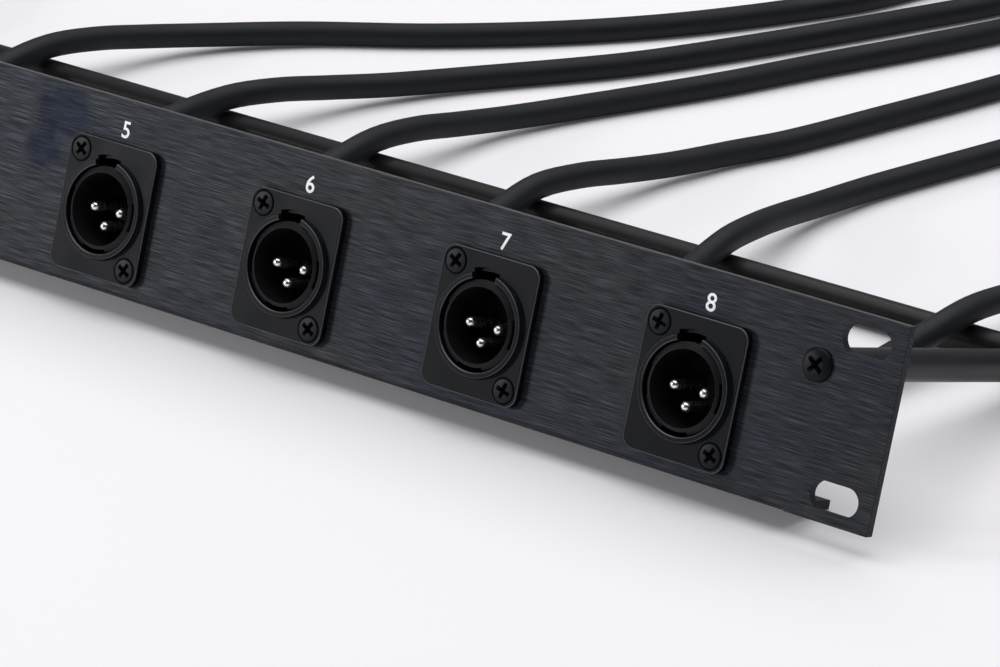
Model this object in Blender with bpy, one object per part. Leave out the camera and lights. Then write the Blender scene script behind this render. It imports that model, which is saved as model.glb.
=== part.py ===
"""One-unit rack panel with eight male XLR sockets, a lacing bar and a cable tail on every socket.

The panel is drawn upright in its own frame: X along the panel, Y to the rear and Z up, with
the origin at the middle of its front face. An empty then leans it back until it stands on the
rear edge of its folded lip and on the lacing bar. The cables lie in the world's own frame.
"""
import math

import bmesh
import bpy
from mathutils import Matrix, Vector

MM = 0.001

# Gap that neighbouring solids keep
GAP = 0.3 * MM

# Panel
PANEL_WIDTH = 482.6 * MM
PANEL_HEIGHT = 44.0 * MM
PANEL_THICKNESS = 2.0 * MM
FOLD_DEPTH = 17.0 * MM
EAR_WIDTH = 20.9 * MM
FOLD_OUTER_RADIUS = 1.2 * MM
RACK_SLOT_SIDE_MARGIN = 9.5 * MM
RACK_SLOT_TOP_MARGIN = 5.6 * MM
RACK_SLOT_LENGTH = 11.8 * MM
RACK_SLOT_HEIGHT = 6.1 * MM

# Sockets
SOCKET_COUNT = 8
SOCKET_SIDE_MARGIN = 49.5 * MM
SOCKET_Z = -3.4 * MM
FLANGE_WIDTH = 26.0 * MM
FLANGE_HEIGHT = 31.0 * MM
FLANGE_FRONT = -1.8 * MM
FLANGE_CORNER_RADIUS = 3.0 * MM
FLANGE_CHAMFER = 0.35 * MM
COLLAR_BASE_RADIUS = 11.95 * MM
COLLAR_LIP_RADIUS = 10.8 * MM
COLLAR_HEIGHT = 1.15 * MM
BARREL_RADIUS = 11.8 * MM
BARREL_END = 19.0 * MM
WINDOW_WIDTH = 6.8 * MM
WINDOW_DEPTH = 1.3 * MM
WINDOW_REACH = 12.6 * MM

# Inserts
INSERT_RADIUS = 9.85 * MM
CAVITY_RADIUS = 8.26 * MM
CAVITY_FLOOR = 9.0 * MM
SLEEVE_INNER_RISE = 1.0 * MM
SLEEVE_OUTER_RISE = 0.2 * MM
PIN_RADIUS = 1.2 * MM
PIN_TIP = -0.7 * MM
PIN_ROOT = 0.5 * MM
PIN_SIDE_X = 3.85 * MM
PIN_SIDE_Z = -0.1 * MM
PIN_LOWER_Z = -3.9 * MM
PIN_CROWN_RADIUS = 0.84 * MM
PIN_CROWN_HEIGHT = 0.36 * MM
BOOT_SHOULDER_RADIUS = 7.8 * MM
BOOT_SHOULDER_LENGTH = 3.0 * MM
BOOT_END_RADIUS = 3.9 * MM
BOOT_TAPER_LENGTH = 8.0 * MM
BOOT_LENGTH = 16.0 * MM

# Screws
FLANGE_SCREW_X = 9.5 * MM
FLANGE_SCREW_Z = 12.0 * MM
FLANGE_SCREW_HEAD_RADIUS = 2.7 * MM
FLANGE_SCREW_HEAD_HEIGHT = 1.3 * MM
FLANGE_SCREW_CROWN = 0.2 * MM
FLANGE_SCREW_EDGE = 0.15 * MM
FLANGE_SCREW_CROWN_RADIUS = 2.4 * MM
FLANGE_SCREW_SHANK_RADIUS = 1.4 * MM
FLANGE_SCREW_PAST_PANEL = 2.0 * MM
BAR_SCREW_HEAD_RADIUS = 3.65 * MM
BAR_SCREW_HEAD_HEIGHT = 1.2 * MM
BAR_SCREW_CROWN_RADIUS = 2.55 * MM
BAR_SCREW_RIM_HEIGHT = 0.6 * MM
BAR_SCREW_SHANK_RADIUS = 1.8 * MM
BAR_SCREW_GRIP = 8.0 * MM
BAR_BORE_SPARE = 1.5 * MM

# Lacing bar
BAR_RADIUS = 3.6 * MM
BAR_ARM_MARGIN = 29.6 * MM
BAR_Z = 9.1 * MM
BAR_REACH = 96.0 * MM
BAR_BEND_RADIUS = 14.0 * MM

# Cable
CABLE_DIAMETER = 6.2 * MM
TAIL_LENGTH = 750.0 * MM
TABLE_CLEARANCE = 0.05 * MM
STRAIGHT_DIAMETERS = 2.0
STRETCH_STEP_DIAMETERS = 3.0

# Coils
COIL_POINTS_PER_LOOP = 24
COIL_PITCH = 7.1 * MM
COIL_CLIMB = 7.0 * MM
COIL_STEP_OUT = 7.6 * MM
COIL_STEP_OUT_START = math.radians(105.0)
COIL_STEP_OUT_END = math.radians(10.0)
COIL_DROP_START = math.radians(60.0)
RADIUS_ROUNDS = 8
GAP_TEST_PARTS = 4
GAP_TEST_APART_DIAMETERS = 6

# Jack plugs
PLUG_BOOT_RADIUS = 4.0 * MM
PLUG_BOOT_END_RADIUS = 5.2 * MM
PLUG_BOOT_LENGTH = 16.0 * MM
PLUG_HANDLE_RADIUS = 7.0 * MM
PLUG_HANDLE_LENGTH = 36.0 * MM
PLUG_HANDLE_CHAMFER = 0.8 * MM
PLUG_SHAFT_RADIUS = 3.175 * MM
PLUG_SHAFT_LENGTH = 30.2 * MM
PLUG_NECK_RADIUS = 2.2 * MM
PLUG_TIP_RADIUS = 2.75 * MM
PLUG_TIP_LENGTH = 7.4 * MM
PLUG_TIP_BULGE = 3.3 * MM

# Sides of the round solids
SOCKET_SEGMENTS = 16
HOLE_SEGMENTS = 20
SMALL_SEGMENTS = 8
PLUG_SEGMENTS = 8
CORNER_SEGMENTS = 3
BEND_SEGMENTS = 5
BAR_RESOLUTION = 3
TAIL_RESOLUTION = 2
COIL_RESOLUTION = 1
SHARP_ANGLE = math.radians(35.0)
MERGE_DISTANCE = 0.001 * MM

# Places of the cables over the bar, as rear distance and height, shared by all eight tails
TAIL_RISE = ((18.0, 6.9), (34.0, 9.0), (49.0, 10.7), (62.0, 9.8), (76.0, 7.2), (92.0, 4.6), (110.0, 3.4))

# Route of each tail: its X at the places above, its points on the table, its coil's turn and loops
LEFT = 1
RIGHT = -1
TAILS = (
    {"over_bar": (-192.2, -192.8, -193.6, -194.6, -196.0, -198.0, -200.2),
     "table": ((-206.0, 140.0), (-211.0, 175.0), (-214.0, 210.0), (-215.0, 255.0)),
     "turn": RIGHT, "loops": 2.2},
    {"over_bar": (-138.0, -140.0, -142.6, -145.0, -147.2, -149.0, -150.0),
     "table": ((-150.0, 140.0), (-149.0, 170.0), (-149.0, 195.0)),
     "turn": RIGHT, "loops": 2.3},
    {"over_bar": (-83.5, -84.6, -82.4, -78.7, -75.0, -67.8, -51.8),
     "table": ((-23.9, 130.2), (1.9, 153.0), (21.0, 175.1), (37.8, 200.8), (48.0, 220.0), (54.0, 240.0)),
     "turn": LEFT, "loops": 2.2},
    {"over_bar": (-27.8, -26.4, -22.0, -17.6, -13.5, -7.2, 3.6),
     "table": ((28.8, 143.4), (41.9, 166.0), (54.5, 190.2), (65.5, 213.0), (77.3, 238.9), (87.0, 270.0),
               (92.0, 305.0), (93.0, 345.0), (93.0, 388.0)),
     "turn": LEFT, "loops": 1.3},
    {"over_bar": (25.9, 24.8, 25.5, 26.9, 28.5, 31.2, 37.9),
     "table": ((56.4, 146.7), (67.5, 172.1), (79.2, 197.4), (89.3, 221.0), (99.0, 250.0), (105.0, 285.0),
               (106.0, 325.0), (106.0, 362.0), (106.0, 400.0)),
     "turn": RIGHT, "loops": 1.3},
    {"over_bar": (78.6, 75.6, 75.4, 77.6, 79.7, 82.4, 87.6),
     "table": ((92.9, 122.4), (102.5, 153.0), (112.4, 186.9), (119.5, 216.0), (122.5, 250.0), (123.0, 284.0)),
     "turn": RIGHT, "loops": 2.2},
    {"over_bar": (134.4, 132.0, 130.6, 129.2, 126.6, 125.3, 127.0),
     "table": ((131.6, 128.1), (137.8, 149.2), (144.0, 172.0), (148.0, 201.0)),
     "turn": RIGHT, "loops": 2.3},
    {"over_bar": (193.6, 195.8, 197.5, 198.9, 199.6, 199.4, 198.6),
     "table": ((199.5, 127.0), (203.0, 142.0)),
     "turn": RIGHT, "loops": 2.5},
)

# Sizes worked out from the ones above
FOLD_WIDTH = PANEL_WIDTH - 2 * EAR_WIDTH
RACK_SLOT_SPACING_X = PANEL_WIDTH - 2 * RACK_SLOT_SIDE_MARGIN
RACK_SLOT_SPACING_Z = PANEL_HEIGHT - 2 * RACK_SLOT_TOP_MARGIN
SOCKET_PITCH = (PANEL_WIDTH - 2 * SOCKET_SIDE_MARGIN) / (SOCKET_COUNT - 1)
BAR_ARM_SPACING = (SOCKET_COUNT - 1) * SOCKET_PITCH + 2 * BAR_ARM_MARGIN
CABLE_RADIUS = CABLE_DIAMETER / 2
CABLE_REST = CABLE_RADIUS + TABLE_CLEARANCE
PLUG_REST = PLUG_HANDLE_RADIUS + TABLE_CLEARANCE
FLANGE_REAR = -GAP
HOLE_RADIUS = BARREL_RADIUS + GAP
SHELL_BORE_RADIUS = INSERT_RADIUS + GAP
COLLAR_FRONT = FLANGE_FRONT - COLLAR_HEIGHT
BOOT_END = BARREL_END + BOOT_LENGTH
BAR_END = PANEL_THICKNESS + GAP
BAR_BORE_RADIUS = BAR_SCREW_SHANK_RADIUS + GAP
FLANGE_SCREW_HOLE_RADIUS = FLANGE_SCREW_SHANK_RADIUS + GAP
FLANGE_SINK_RADIUS = FLANGE_SCREW_HEAD_RADIUS + GAP
FOLD_EDGE = (FOLD_DEPTH, -PANEL_HEIGHT / 2)
PLUG_LENGTH = PLUG_BOOT_LENGTH + PLUG_HANDLE_LENGTH + PLUG_SHAFT_LENGTH


def lean_angle():
    """Angle at which the folded lip's rear edge and the bar's underside touch one level."""
    rear = BAR_REACH - FOLD_EDGE[0]
    rise = BAR_Z - FOLD_EDGE[1]
    return math.atan2(rise, rear) - math.asin(BAR_RADIUS / math.hypot(rear, rise))


LEAN = lean_angle()


def leaned(y, z):
    """Rear distance and height of a panel point after leaning, from the lip's rear edge."""
    rear = y - FOLD_EDGE[0]
    rise = z - FOLD_EDGE[1]
    return (rear * math.cos(LEAN) + rise * math.sin(LEAN), rise * math.cos(LEAN) - rear * math.sin(LEAN))


def lip_edge_y():
    """World Y of the lip's rear edge, which centres the part without its cables on Y."""
    flange_low = SOCKET_Z - FLANGE_HEIGHT / 2
    front = min(leaned(FLANGE_FRONT + FLANGE_CHAMFER, flange_low)[0], leaned(0.0, FOLD_EDGE[1])[0])
    rear = leaned(BAR_REACH, BAR_Z)[0] + BAR_RADIUS
    return -(front + rear) / 2


LIP_EDGE_Y = lip_edge_y()


def to_world(x, y, z):
    """World place of a point in the panel's own frame."""
    rear, height = leaned(y, z)
    return Vector((x, rear + LIP_EDGE_Y, height))


def socket_x(index):
    return (index - (SOCKET_COUNT - 1) / 2) * SOCKET_PITCH


def clear_scene():
    for obj in list(bpy.data.objects):
        bpy.data.objects.remove(obj, do_unlink=True)


def make_material(name, colour, roughness, metallic=0.0):
    material = bpy.data.materials.new(name)
    material.use_nodes = True
    shader = material.node_tree.nodes["Principled BSDF"]
    shader.inputs["Base Color"].default_value = (*colour, 1.0)
    shader.inputs["Roughness"].default_value = roughness
    shader.inputs["Metallic"].default_value = metallic
    return material


def finished_mesh(name, bm):
    """Mesh of a closed bmesh, with its faces turned outward."""
    bmesh.ops.recalc_face_normals(bm, faces=bm.faces)
    mesh = bpy.data.meshes.new(name)
    bm.to_mesh(mesh)
    bm.free()
    return mesh


def combined(base, tools, operation):
    """Mesh of base after the tool meshes are joined to it or cut from it."""
    body = bpy.data.objects.new("body", base)
    bpy.context.scene.collection.objects.link(body)
    helpers = [body]
    for tool in tools:
        helper = bpy.data.objects.new("tool", tool)
        bpy.context.scene.collection.objects.link(helper)
        helpers.append(helper)
        cut = body.modifiers.new("cut", "BOOLEAN")
        cut.operation = operation
        cut.solver = "EXACT"
        cut.object = helper
    depsgraph = bpy.context.evaluated_depsgraph_get()
    result = bpy.data.meshes.new_from_object(body.evaluated_get(depsgraph))
    for helper in helpers:
        bpy.data.objects.remove(helper, do_unlink=True)
    return result


def place(name, mesh, material, parent=None, location=(0.0, 0.0, 0.0)):
    """Object of a mesh, shaded smooth with sharp edges kept, under its parent."""
    mesh.materials.clear()
    mesh.materials.append(material)
    mesh.shade_smooth()
    mesh.set_sharp_from_angle(angle=SHARP_ANGLE)
    obj = bpy.data.objects.new(name, mesh)
    bpy.context.scene.collection.objects.link(obj)
    obj.parent = parent
    obj.location = location
    return obj


def turned(outline, segments, centre=(0.0, 0.0, 0.0)):
    """Solid turned about a Y axis from (radius, y) points that start and end on the axis."""
    bm = bmesh.new()
    x, y, z = centre
    verts = [bm.verts.new((x + radius, y + along, z)) for radius, along in outline]
    edges = [bm.edges.new(pair) for pair in zip(verts[:-1], verts[1:])]
    bmesh.ops.spin(bm, geom=verts + edges, cent=centre, axis=(0.0, 1.0, 0.0), angle=math.tau,
                   steps=segments, use_duplicate=False)
    bmesh.ops.remove_doubles(bm, verts=bm.verts, dist=MERGE_DISTANCE)
    return finished_mesh("turned", bm)


def rod(radius, start, end, segments, centre):
    """Plain round rod from start to end."""
    return turned([(0.0, start), (radius, start), (radius, end), (0.0, end)], segments, centre)


def prism(outline, start, end):
    """Solid of an (x, z) outline drawn from y = start to y = end."""
    bm = bmesh.new()
    face = bm.faces.new([bm.verts.new((x, start, z)) for x, z in outline])
    extruded = bmesh.ops.extrude_face_region(bm, geom=[face])
    moved = [item for item in extruded["geom"] if isinstance(item, bmesh.types.BMVert)]
    bmesh.ops.translate(bm, verts=moved, vec=(0.0, end - start, 0.0))
    return finished_mesh("prism", bm)


def rounded_outline(width, height, radius, centre=(0.0, 0.0), segments=CORNER_SEGMENTS):
    """Rectangle with round corners, as (x, z) points."""
    points = []
    corners = ((1, 1, 0.0), (-1, 1, 0.5), (-1, -1, 1.0), (1, -1, 1.5))
    for side_x, side_z, start in corners:
        corner_x = centre[0] + side_x * (width / 2 - radius)
        corner_z = centre[1] + side_z * (height / 2 - radius)
        for step in range(segments + 1):
            angle = math.pi * (start + 0.5 * step / segments)
            points.append((corner_x + radius * math.cos(angle), corner_z + radius * math.sin(angle)))
    return points


def slot_outline(centre_x, centre_z):
    """Slot with half-round ends, as (x, z) points."""
    radius = RACK_SLOT_HEIGHT / 2
    straight = RACK_SLOT_LENGTH / 2 - radius
    points = []
    for side, start in ((1, -0.5), (-1, 0.5)):
        for step in range(2 * CORNER_SEGMENTS + 1):
            angle = math.pi * (start + step / (2 * CORNER_SEGMENTS))
            points.append((centre_x + side * straight + radius * math.cos(angle),
                           centre_z + radius * math.sin(angle)))
    return points


def panel_mesh():
    """Plate with its lower edge folded to the rear, short of the rack ears."""
    half = PANEL_HEIGHT / 2
    outer = FOLD_OUTER_RADIUS
    plate = prism([(-PANEL_WIDTH / 2, -half), (PANEL_WIDTH / 2, -half),
                   (PANEL_WIDTH / 2, half), (-PANEL_WIDTH / 2, half)], 0.0, PANEL_THICKNESS)
    middle = PANEL_THICKNESS / 2
    lip = lengthwise([(middle, -half), (FOLD_DEPTH, -half), (FOLD_DEPTH, PANEL_THICKNESS - half),
                      (middle, PANEL_THICKNESS - half)], FOLD_WIDTH)
    round_points = [(outer * (1 - math.sin(math.pi / 2 * step / BEND_SEGMENTS)),
                     -half + outer * (1 - math.cos(math.pi / 2 * step / BEND_SEGMENTS)))
                    for step in range(BEND_SEGMENTS + 1)]
    corner = lengthwise([(-outer, -half - outer), (outer, -half - outer)] + round_points
                        + [(-outer, outer - half)], FOLD_WIDTH)
    body = combined(combined(plate, [lip], "UNION"), [corner], "DIFFERENCE")
    return combined(body, panel_holes(), "DIFFERENCE")


def lengthwise(outline, width):
    """Solid of a (y, z) outline drawn along X, centred on the panel."""
    bm = bmesh.new()
    face = bm.faces.new([bm.verts.new((-width / 2, y, z)) for y, z in outline])
    extruded = bmesh.ops.extrude_face_region(bm, geom=[face])
    moved = [item for item in extruded["geom"] if isinstance(item, bmesh.types.BMVert)]
    bmesh.ops.translate(bm, verts=moved, vec=(width, 0.0, 0.0))
    return finished_mesh("lengthwise", bm)


def flange_screw_places():
    return ((-FLANGE_SCREW_X, FLANGE_SCREW_Z), (FLANGE_SCREW_X, -FLANGE_SCREW_Z))


def panel_holes():
    """Cutters for the sockets, their screws, the bar's screws and the rack slots."""
    front = -PANEL_THICKNESS
    rear = 2 * PANEL_THICKNESS
    holes = []
    for index in range(SOCKET_COUNT):
        x = socket_x(index)
        holes.append(rod(HOLE_RADIUS, front, rear, HOLE_SEGMENTS, (x, 0.0, SOCKET_Z)))
        for dx, dz in flange_screw_places():
            holes.append(rod(FLANGE_SCREW_HOLE_RADIUS, front, rear, SMALL_SEGMENTS,
                             (x + dx, 0.0, SOCKET_Z + dz)))
    for side in (-1, 1):
        arm_x = side * BAR_ARM_SPACING / 2
        holes.append(rod(BAR_BORE_RADIUS, front, rear, SMALL_SEGMENTS, (arm_x, 0.0, BAR_Z)))
        for level in (-1, 1):
            outline = slot_outline(side * RACK_SLOT_SPACING_X / 2, level * RACK_SLOT_SPACING_Z / 2)
            holes.append(prism(outline, front, rear))
    return holes


def flange_plate():
    """Flange with round corners and a small chamfer round its front face."""
    bm = bmesh.new()
    levels = ((FLANGE_REAR, 0.0), (FLANGE_FRONT + FLANGE_CHAMFER, 0.0), (FLANGE_FRONT, FLANGE_CHAMFER))
    rings = []
    for y, inset in levels:
        outline = rounded_outline(FLANGE_WIDTH - 2 * inset, FLANGE_HEIGHT - 2 * inset,
                                  FLANGE_CORNER_RADIUS - inset)
        rings.append([bm.verts.new((x, y, z)) for x, z in outline])
    bm.faces.new(rings[0])
    bm.faces.new(rings[-1])
    for lower, upper in zip(rings[:-1], rings[1:]):
        for index in range(len(lower)):
            after = (index + 1) % len(lower)
            bm.faces.new((lower[index], lower[after], upper[after], upper[index]))
    return finished_mesh("flange", bm)


def shell_mesh():
    """Flange, collar and rear barrel in one casting, bored for the insert."""
    middle = (FLANGE_FRONT + FLANGE_REAR) / 2
    round_body = turned([(0.0, COLLAR_FRONT), (COLLAR_LIP_RADIUS, COLLAR_FRONT),
                         (COLLAR_BASE_RADIUS, FLANGE_FRONT), (BARREL_RADIUS, middle),
                         (BARREL_RADIUS, BARREL_END), (0.0, BARREL_END)], SOCKET_SEGMENTS)
    body = combined(flange_plate(), [round_body], "UNION")
    past = PANEL_THICKNESS
    cutters = [rod(SHELL_BORE_RADIUS, COLLAR_FRONT - past, BARREL_END + past, SOCKET_SEGMENTS,
                   (0.0, 0.0, 0.0))]
    window_low = CAVITY_RADIUS
    cutters.append(prism([(-WINDOW_WIDTH / 2, window_low), (WINDOW_WIDTH / 2, window_low),
                          (WINDOW_WIDTH / 2, WINDOW_REACH), (-WINDOW_WIDTH / 2, WINDOW_REACH)],
                         COLLAR_FRONT - past, FLANGE_FRONT + WINDOW_DEPTH))
    for dx, dz in flange_screw_places():
        outline = [(0.0, FLANGE_FRONT - past), (FLANGE_SINK_RADIUS, FLANGE_FRONT - past),
                   (FLANGE_SINK_RADIUS, FLANGE_FRONT),
                   (FLANGE_SCREW_HOLE_RADIUS, FLANGE_FRONT + FLANGE_SCREW_HEAD_HEIGHT),
                   (FLANGE_SCREW_HOLE_RADIUS, FLANGE_REAR + past), (0.0, FLANGE_REAR + past)]
        cutters.append(turned(outline, SMALL_SEGMENTS, (dx, 0.0, dz)))
    return combined(body, cutters, "DIFFERENCE")


def insert_mesh():
    """Sleeve and floor with three contacts, and the shrunk boot that grips the cable."""
    sleeve_inner = FLANGE_FRONT - SLEEVE_INNER_RISE
    sleeve_outer = FLANGE_FRONT - SLEEVE_OUTER_RISE
    boot_taper_end = BARREL_END + BOOT_SHOULDER_LENGTH + BOOT_TAPER_LENGTH
    body = turned([(0.0, CAVITY_FLOOR), (CAVITY_RADIUS, CAVITY_FLOOR), (CAVITY_RADIUS, sleeve_inner),
                   (INSERT_RADIUS, sleeve_outer), (INSERT_RADIUS, BARREL_END),
                   (BOOT_SHOULDER_RADIUS, BARREL_END),
                   (BOOT_SHOULDER_RADIUS, BARREL_END + BOOT_SHOULDER_LENGTH),
                   (BOOT_END_RADIUS, boot_taper_end), (BOOT_END_RADIUS, BOOT_END), (0.0, BOOT_END)],
                  SOCKET_SEGMENTS)
    pins = []
    for x, z in ((-PIN_SIDE_X, PIN_SIDE_Z), (PIN_SIDE_X, PIN_SIDE_Z), (0.0, PIN_LOWER_Z)):
        outline = [(0.0, PIN_TIP), (PIN_CROWN_RADIUS, PIN_TIP + PIN_CROWN_HEIGHT),
                   (PIN_RADIUS, PIN_TIP + PIN_RADIUS), (PIN_RADIUS, CAVITY_FLOOR + PIN_ROOT),
                   (0.0, CAVITY_FLOOR + PIN_ROOT)]
        pins.append(turned(outline, SMALL_SEGMENTS, (x, 0.0, z)))
    return combined(body, pins, "UNION")


def flange_screw_mesh():
    """Countersunk screw, its head nearly flush with the flange."""
    head_end = FLANGE_FRONT + FLANGE_SCREW_HEAD_HEIGHT
    tip = PANEL_THICKNESS + FLANGE_SCREW_PAST_PANEL
    return turned([(0.0, FLANGE_FRONT - FLANGE_SCREW_CROWN),
                   (FLANGE_SCREW_CROWN_RADIUS, FLANGE_FRONT - FLANGE_SCREW_EDGE),
                   (FLANGE_SCREW_HEAD_RADIUS, FLANGE_FRONT), (FLANGE_SCREW_SHANK_RADIUS, head_end),
                   (FLANGE_SCREW_SHANK_RADIUS, tip), (0.0, tip)], SMALL_SEGMENTS)


def bar_screw_mesh():
    """Pan head screw that passes through the panel into the bar."""
    under_head = -GAP
    head_front = under_head - BAR_SCREW_HEAD_HEIGHT
    tip = PANEL_THICKNESS + BAR_SCREW_GRIP
    return turned([(0.0, head_front), (BAR_SCREW_CROWN_RADIUS, head_front),
                   (BAR_SCREW_HEAD_RADIUS, under_head - BAR_SCREW_RIM_HEIGHT),
                   (BAR_SCREW_HEAD_RADIUS, under_head), (BAR_SCREW_SHANK_RADIUS, under_head),
                   (BAR_SCREW_SHANK_RADIUS, tip), (0.0, tip)], SOCKET_SEGMENTS)


def bar_points():
    """Middle line of the bar: arm, bend, run, bend and arm."""
    arm_x = BAR_ARM_SPACING / 2
    bend_y = BAR_REACH - BAR_BEND_RADIUS
    half = [(arm_x, BAR_END, BAR_Z)]
    for step in range(BEND_SEGMENTS + 1):
        angle = math.pi / 2 * step / BEND_SEGMENTS
        half.append((arm_x - BAR_BEND_RADIUS * (1 - math.cos(angle)),
                     bend_y + BAR_BEND_RADIUS * math.sin(angle), BAR_Z))
    return half + [(-x, y, z) for x, y, z in reversed(half)]


def tube(name, points, radius, resolution):
    """Curve object: an open run of straight pieces with a round section and closed ends."""
    curve = bpy.data.curves.new(name, "CURVE")
    curve.dimensions = "3D"
    curve.bevel_depth = radius
    curve.bevel_resolution = resolution
    curve.use_fill_caps = True
    spline = curve.splines.new("POLY")
    spline.points.add(len(points) - 1)
    for target, point in zip(spline.points, points):
        target.co = (*point, 1.0)
    obj = bpy.data.objects.new(name, curve)
    bpy.context.scene.collection.objects.link(obj)
    return obj


def bar_mesh():
    """Bent rod with a bore for a screw in the end of each arm."""
    drawn = tube("bar_path", bar_points(), BAR_RADIUS, BAR_RESOLUTION)
    depsgraph = bpy.context.evaluated_depsgraph_get()
    mesh = bpy.data.meshes.new_from_object(drawn.evaluated_get(depsgraph))
    bpy.data.objects.remove(drawn, do_unlink=True)
    depth = PANEL_THICKNESS + BAR_SCREW_GRIP + BAR_BORE_SPARE
    bores = [rod(BAR_BORE_RADIUS, 0.0, depth, SMALL_SEGMENTS, (side * BAR_ARM_SPACING / 2, 0.0, BAR_Z))
             for side in (-1, 1)]
    return combined(mesh, bores, "DIFFERENCE")


def eased(share):
    """Share from 0 to 1 with a level start and end."""
    share = min(max(share, 0.0), 1.0)
    return share * share * (3 - 2 * share)


def smooth_curve(points, step):
    """Points about one step apart on a smooth curve through the given points."""
    first = 2 * points[0] - points[1]
    last = 2 * points[-1] - points[-2]
    chain = [first, *points, last]
    result = []
    for before, start, end, after in zip(chain[:-3], chain[1:-2], chain[2:-1], chain[3:]):
        lead = math.sqrt((start - before).length)
        span = math.sqrt((end - start).length)
        trail = math.sqrt((after - end).length)
        leave = (end - start) + span * ((start - before) / lead - (end - before) / (lead + span))
        arrive = (end - start) + span * ((after - end) / trail - (after - start) / (span + trail))
        count = max(1, round((end - start).length / step))
        for index in range(count):
            t = index / count
            result.append(start * (2 * t ** 3 - 3 * t ** 2 + 1) + leave * (t ** 3 - 2 * t ** 2 + t)
                          + end * (3 * t ** 2 - 2 * t ** 3) + arrive * (t ** 3 - t ** 2))
    return result + [points[-1]]


def path_length(points):
    return sum((end - start).length for start, end in zip(points[:-1], points[1:]))


def stretch_points(index, tail):
    """Tail from its boot over the bar to its coil."""
    start = to_world(socket_x(index), BOOT_END + GAP, SOCKET_Z)
    straight_end = to_world(socket_x(index), BOOT_END + GAP + STRAIGHT_DIAMETERS * CABLE_DIAMETER, SOCKET_Z)
    route = [start, straight_end]
    route += [Vector((x, y, z)) * MM for x, (y, z) in zip(tail["over_bar"], TAIL_RISE)]
    route += [Vector((x * MM, y * MM, CABLE_REST)) for x, y in tail["table"]]
    return smooth_curve(route, STRETCH_STEP_DIAMETERS * CABLE_DIAMETER)


def coil_points(entry, heading, tail, radius):
    """Two layers of loops: in on the table, up where they turn back, out again and down beside."""
    course = math.atan2(heading.y, heading.x)
    side = tail["turn"]
    total = math.tau * tail["loops"]
    middle = total / 2
    first_angle = course - side * math.pi / 2
    outer = radius + COIL_PITCH * tail["loops"] / 4
    start = entry + heading * CABLE_DIAMETER
    centre_x = start.x - outer * math.cos(first_angle)
    centre_y = start.y - outer * math.sin(first_angle)
    points = [entry.copy()]
    steps = round(COIL_POINTS_PER_LOOP * tail["loops"])
    step_out_span = COIL_STEP_OUT_START - COIL_STEP_OUT_END
    for step in range(steps + 1):
        turn = total * step / steps
        left = total - turn
        reach = outer - COIL_PITCH * (middle - abs(middle - turn)) / math.tau
        reach += COIL_STEP_OUT * eased((COIL_STEP_OUT_START - left) / step_out_span)
        height = CABLE_REST + COIL_CLIMB * eased((turn - middle) / math.pi + 0.5)
        height += (PLUG_REST - CABLE_REST - COIL_CLIMB) * eased((COIL_DROP_START - left) / COIL_DROP_START)
        angle = first_angle + side * turn
        points.append(Vector((centre_x + reach * math.cos(angle), centre_y + reach * math.sin(angle),
                              height)))
    end_course = course + side * total
    end_heading = Vector((math.cos(end_course), math.sin(end_course), 0.0))
    points.append(points[-1] + end_heading * CABLE_DIAMETER)
    return points, end_heading


def fitted_coil(entry, heading, tail, length):
    """Coil whose loops hold just the given length of cable."""
    radius = length / (math.tau * tail["loops"])
    for _ in range(RADIUS_ROUNDS):
        points, end_heading = coil_points(entry, heading, tail, radius)
        radius += (length - path_length(points)) / (math.tau * tail["loops"])
    return points, end_heading


def least_gap(points):
    """Least gap between two turns of a coil, measured on points along its straight pieces."""
    dense = []
    for start, end in zip(points[:-1], points[1:]):
        dense += [start.lerp(end, part / GAP_TEST_PARTS) for part in range(GAP_TEST_PARTS)]
    spacing = path_length(points) / len(dense)
    apart = math.ceil(GAP_TEST_APART_DIAMETERS * CABLE_DIAMETER / spacing)
    nearest = min((dense[i] - dense[j]).length
                  for i in range(len(dense)) for j in range(i + apart, len(dense)))
    return nearest - CABLE_DIAMETER


def plug_mesh():
    """Three-contact 6.35 mm jack plug, drawn along +Y from its cable end."""
    boot = PLUG_BOOT_LENGTH
    handle = boot + PLUG_HANDLE_LENGTH
    neck = PLUG_LENGTH - PLUG_TIP_LENGTH
    edge = PLUG_HANDLE_CHAMFER
    return turned([(0.0, 0.0), (PLUG_BOOT_RADIUS, 0.0), (PLUG_BOOT_END_RADIUS, boot),
                   (PLUG_HANDLE_RADIUS, boot), (PLUG_HANDLE_RADIUS, handle - edge),
                   (PLUG_HANDLE_RADIUS - edge, handle), (PLUG_SHAFT_RADIUS, handle),
                   (PLUG_SHAFT_RADIUS, neck),
                   (PLUG_NECK_RADIUS, neck), (PLUG_TIP_RADIUS, neck + PLUG_TIP_BULGE), (0.0, PLUG_LENGTH)],
                  PLUG_SEGMENTS)


def build_panel(frame):
    finish = make_material("anodised", (0.025, 0.029, 0.036), 0.42, 0.9)
    place("panel", panel_mesh(), finish, frame)


def build_bar(frame):
    finish = make_material("bar_black", (0.02, 0.021, 0.023), 0.35)
    place("lacing_bar", bar_mesh(), finish, frame)
    screw = bar_screw_mesh()
    steel = make_material("bar_screw_black", (0.02, 0.02, 0.022), 0.3, 0.8)
    for side, word in ((-1, "left"), (1, "right")):
        place(f"bar_screw_{word}", screw, steel, frame, (side * BAR_ARM_SPACING / 2, 0.0, BAR_Z))


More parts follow.
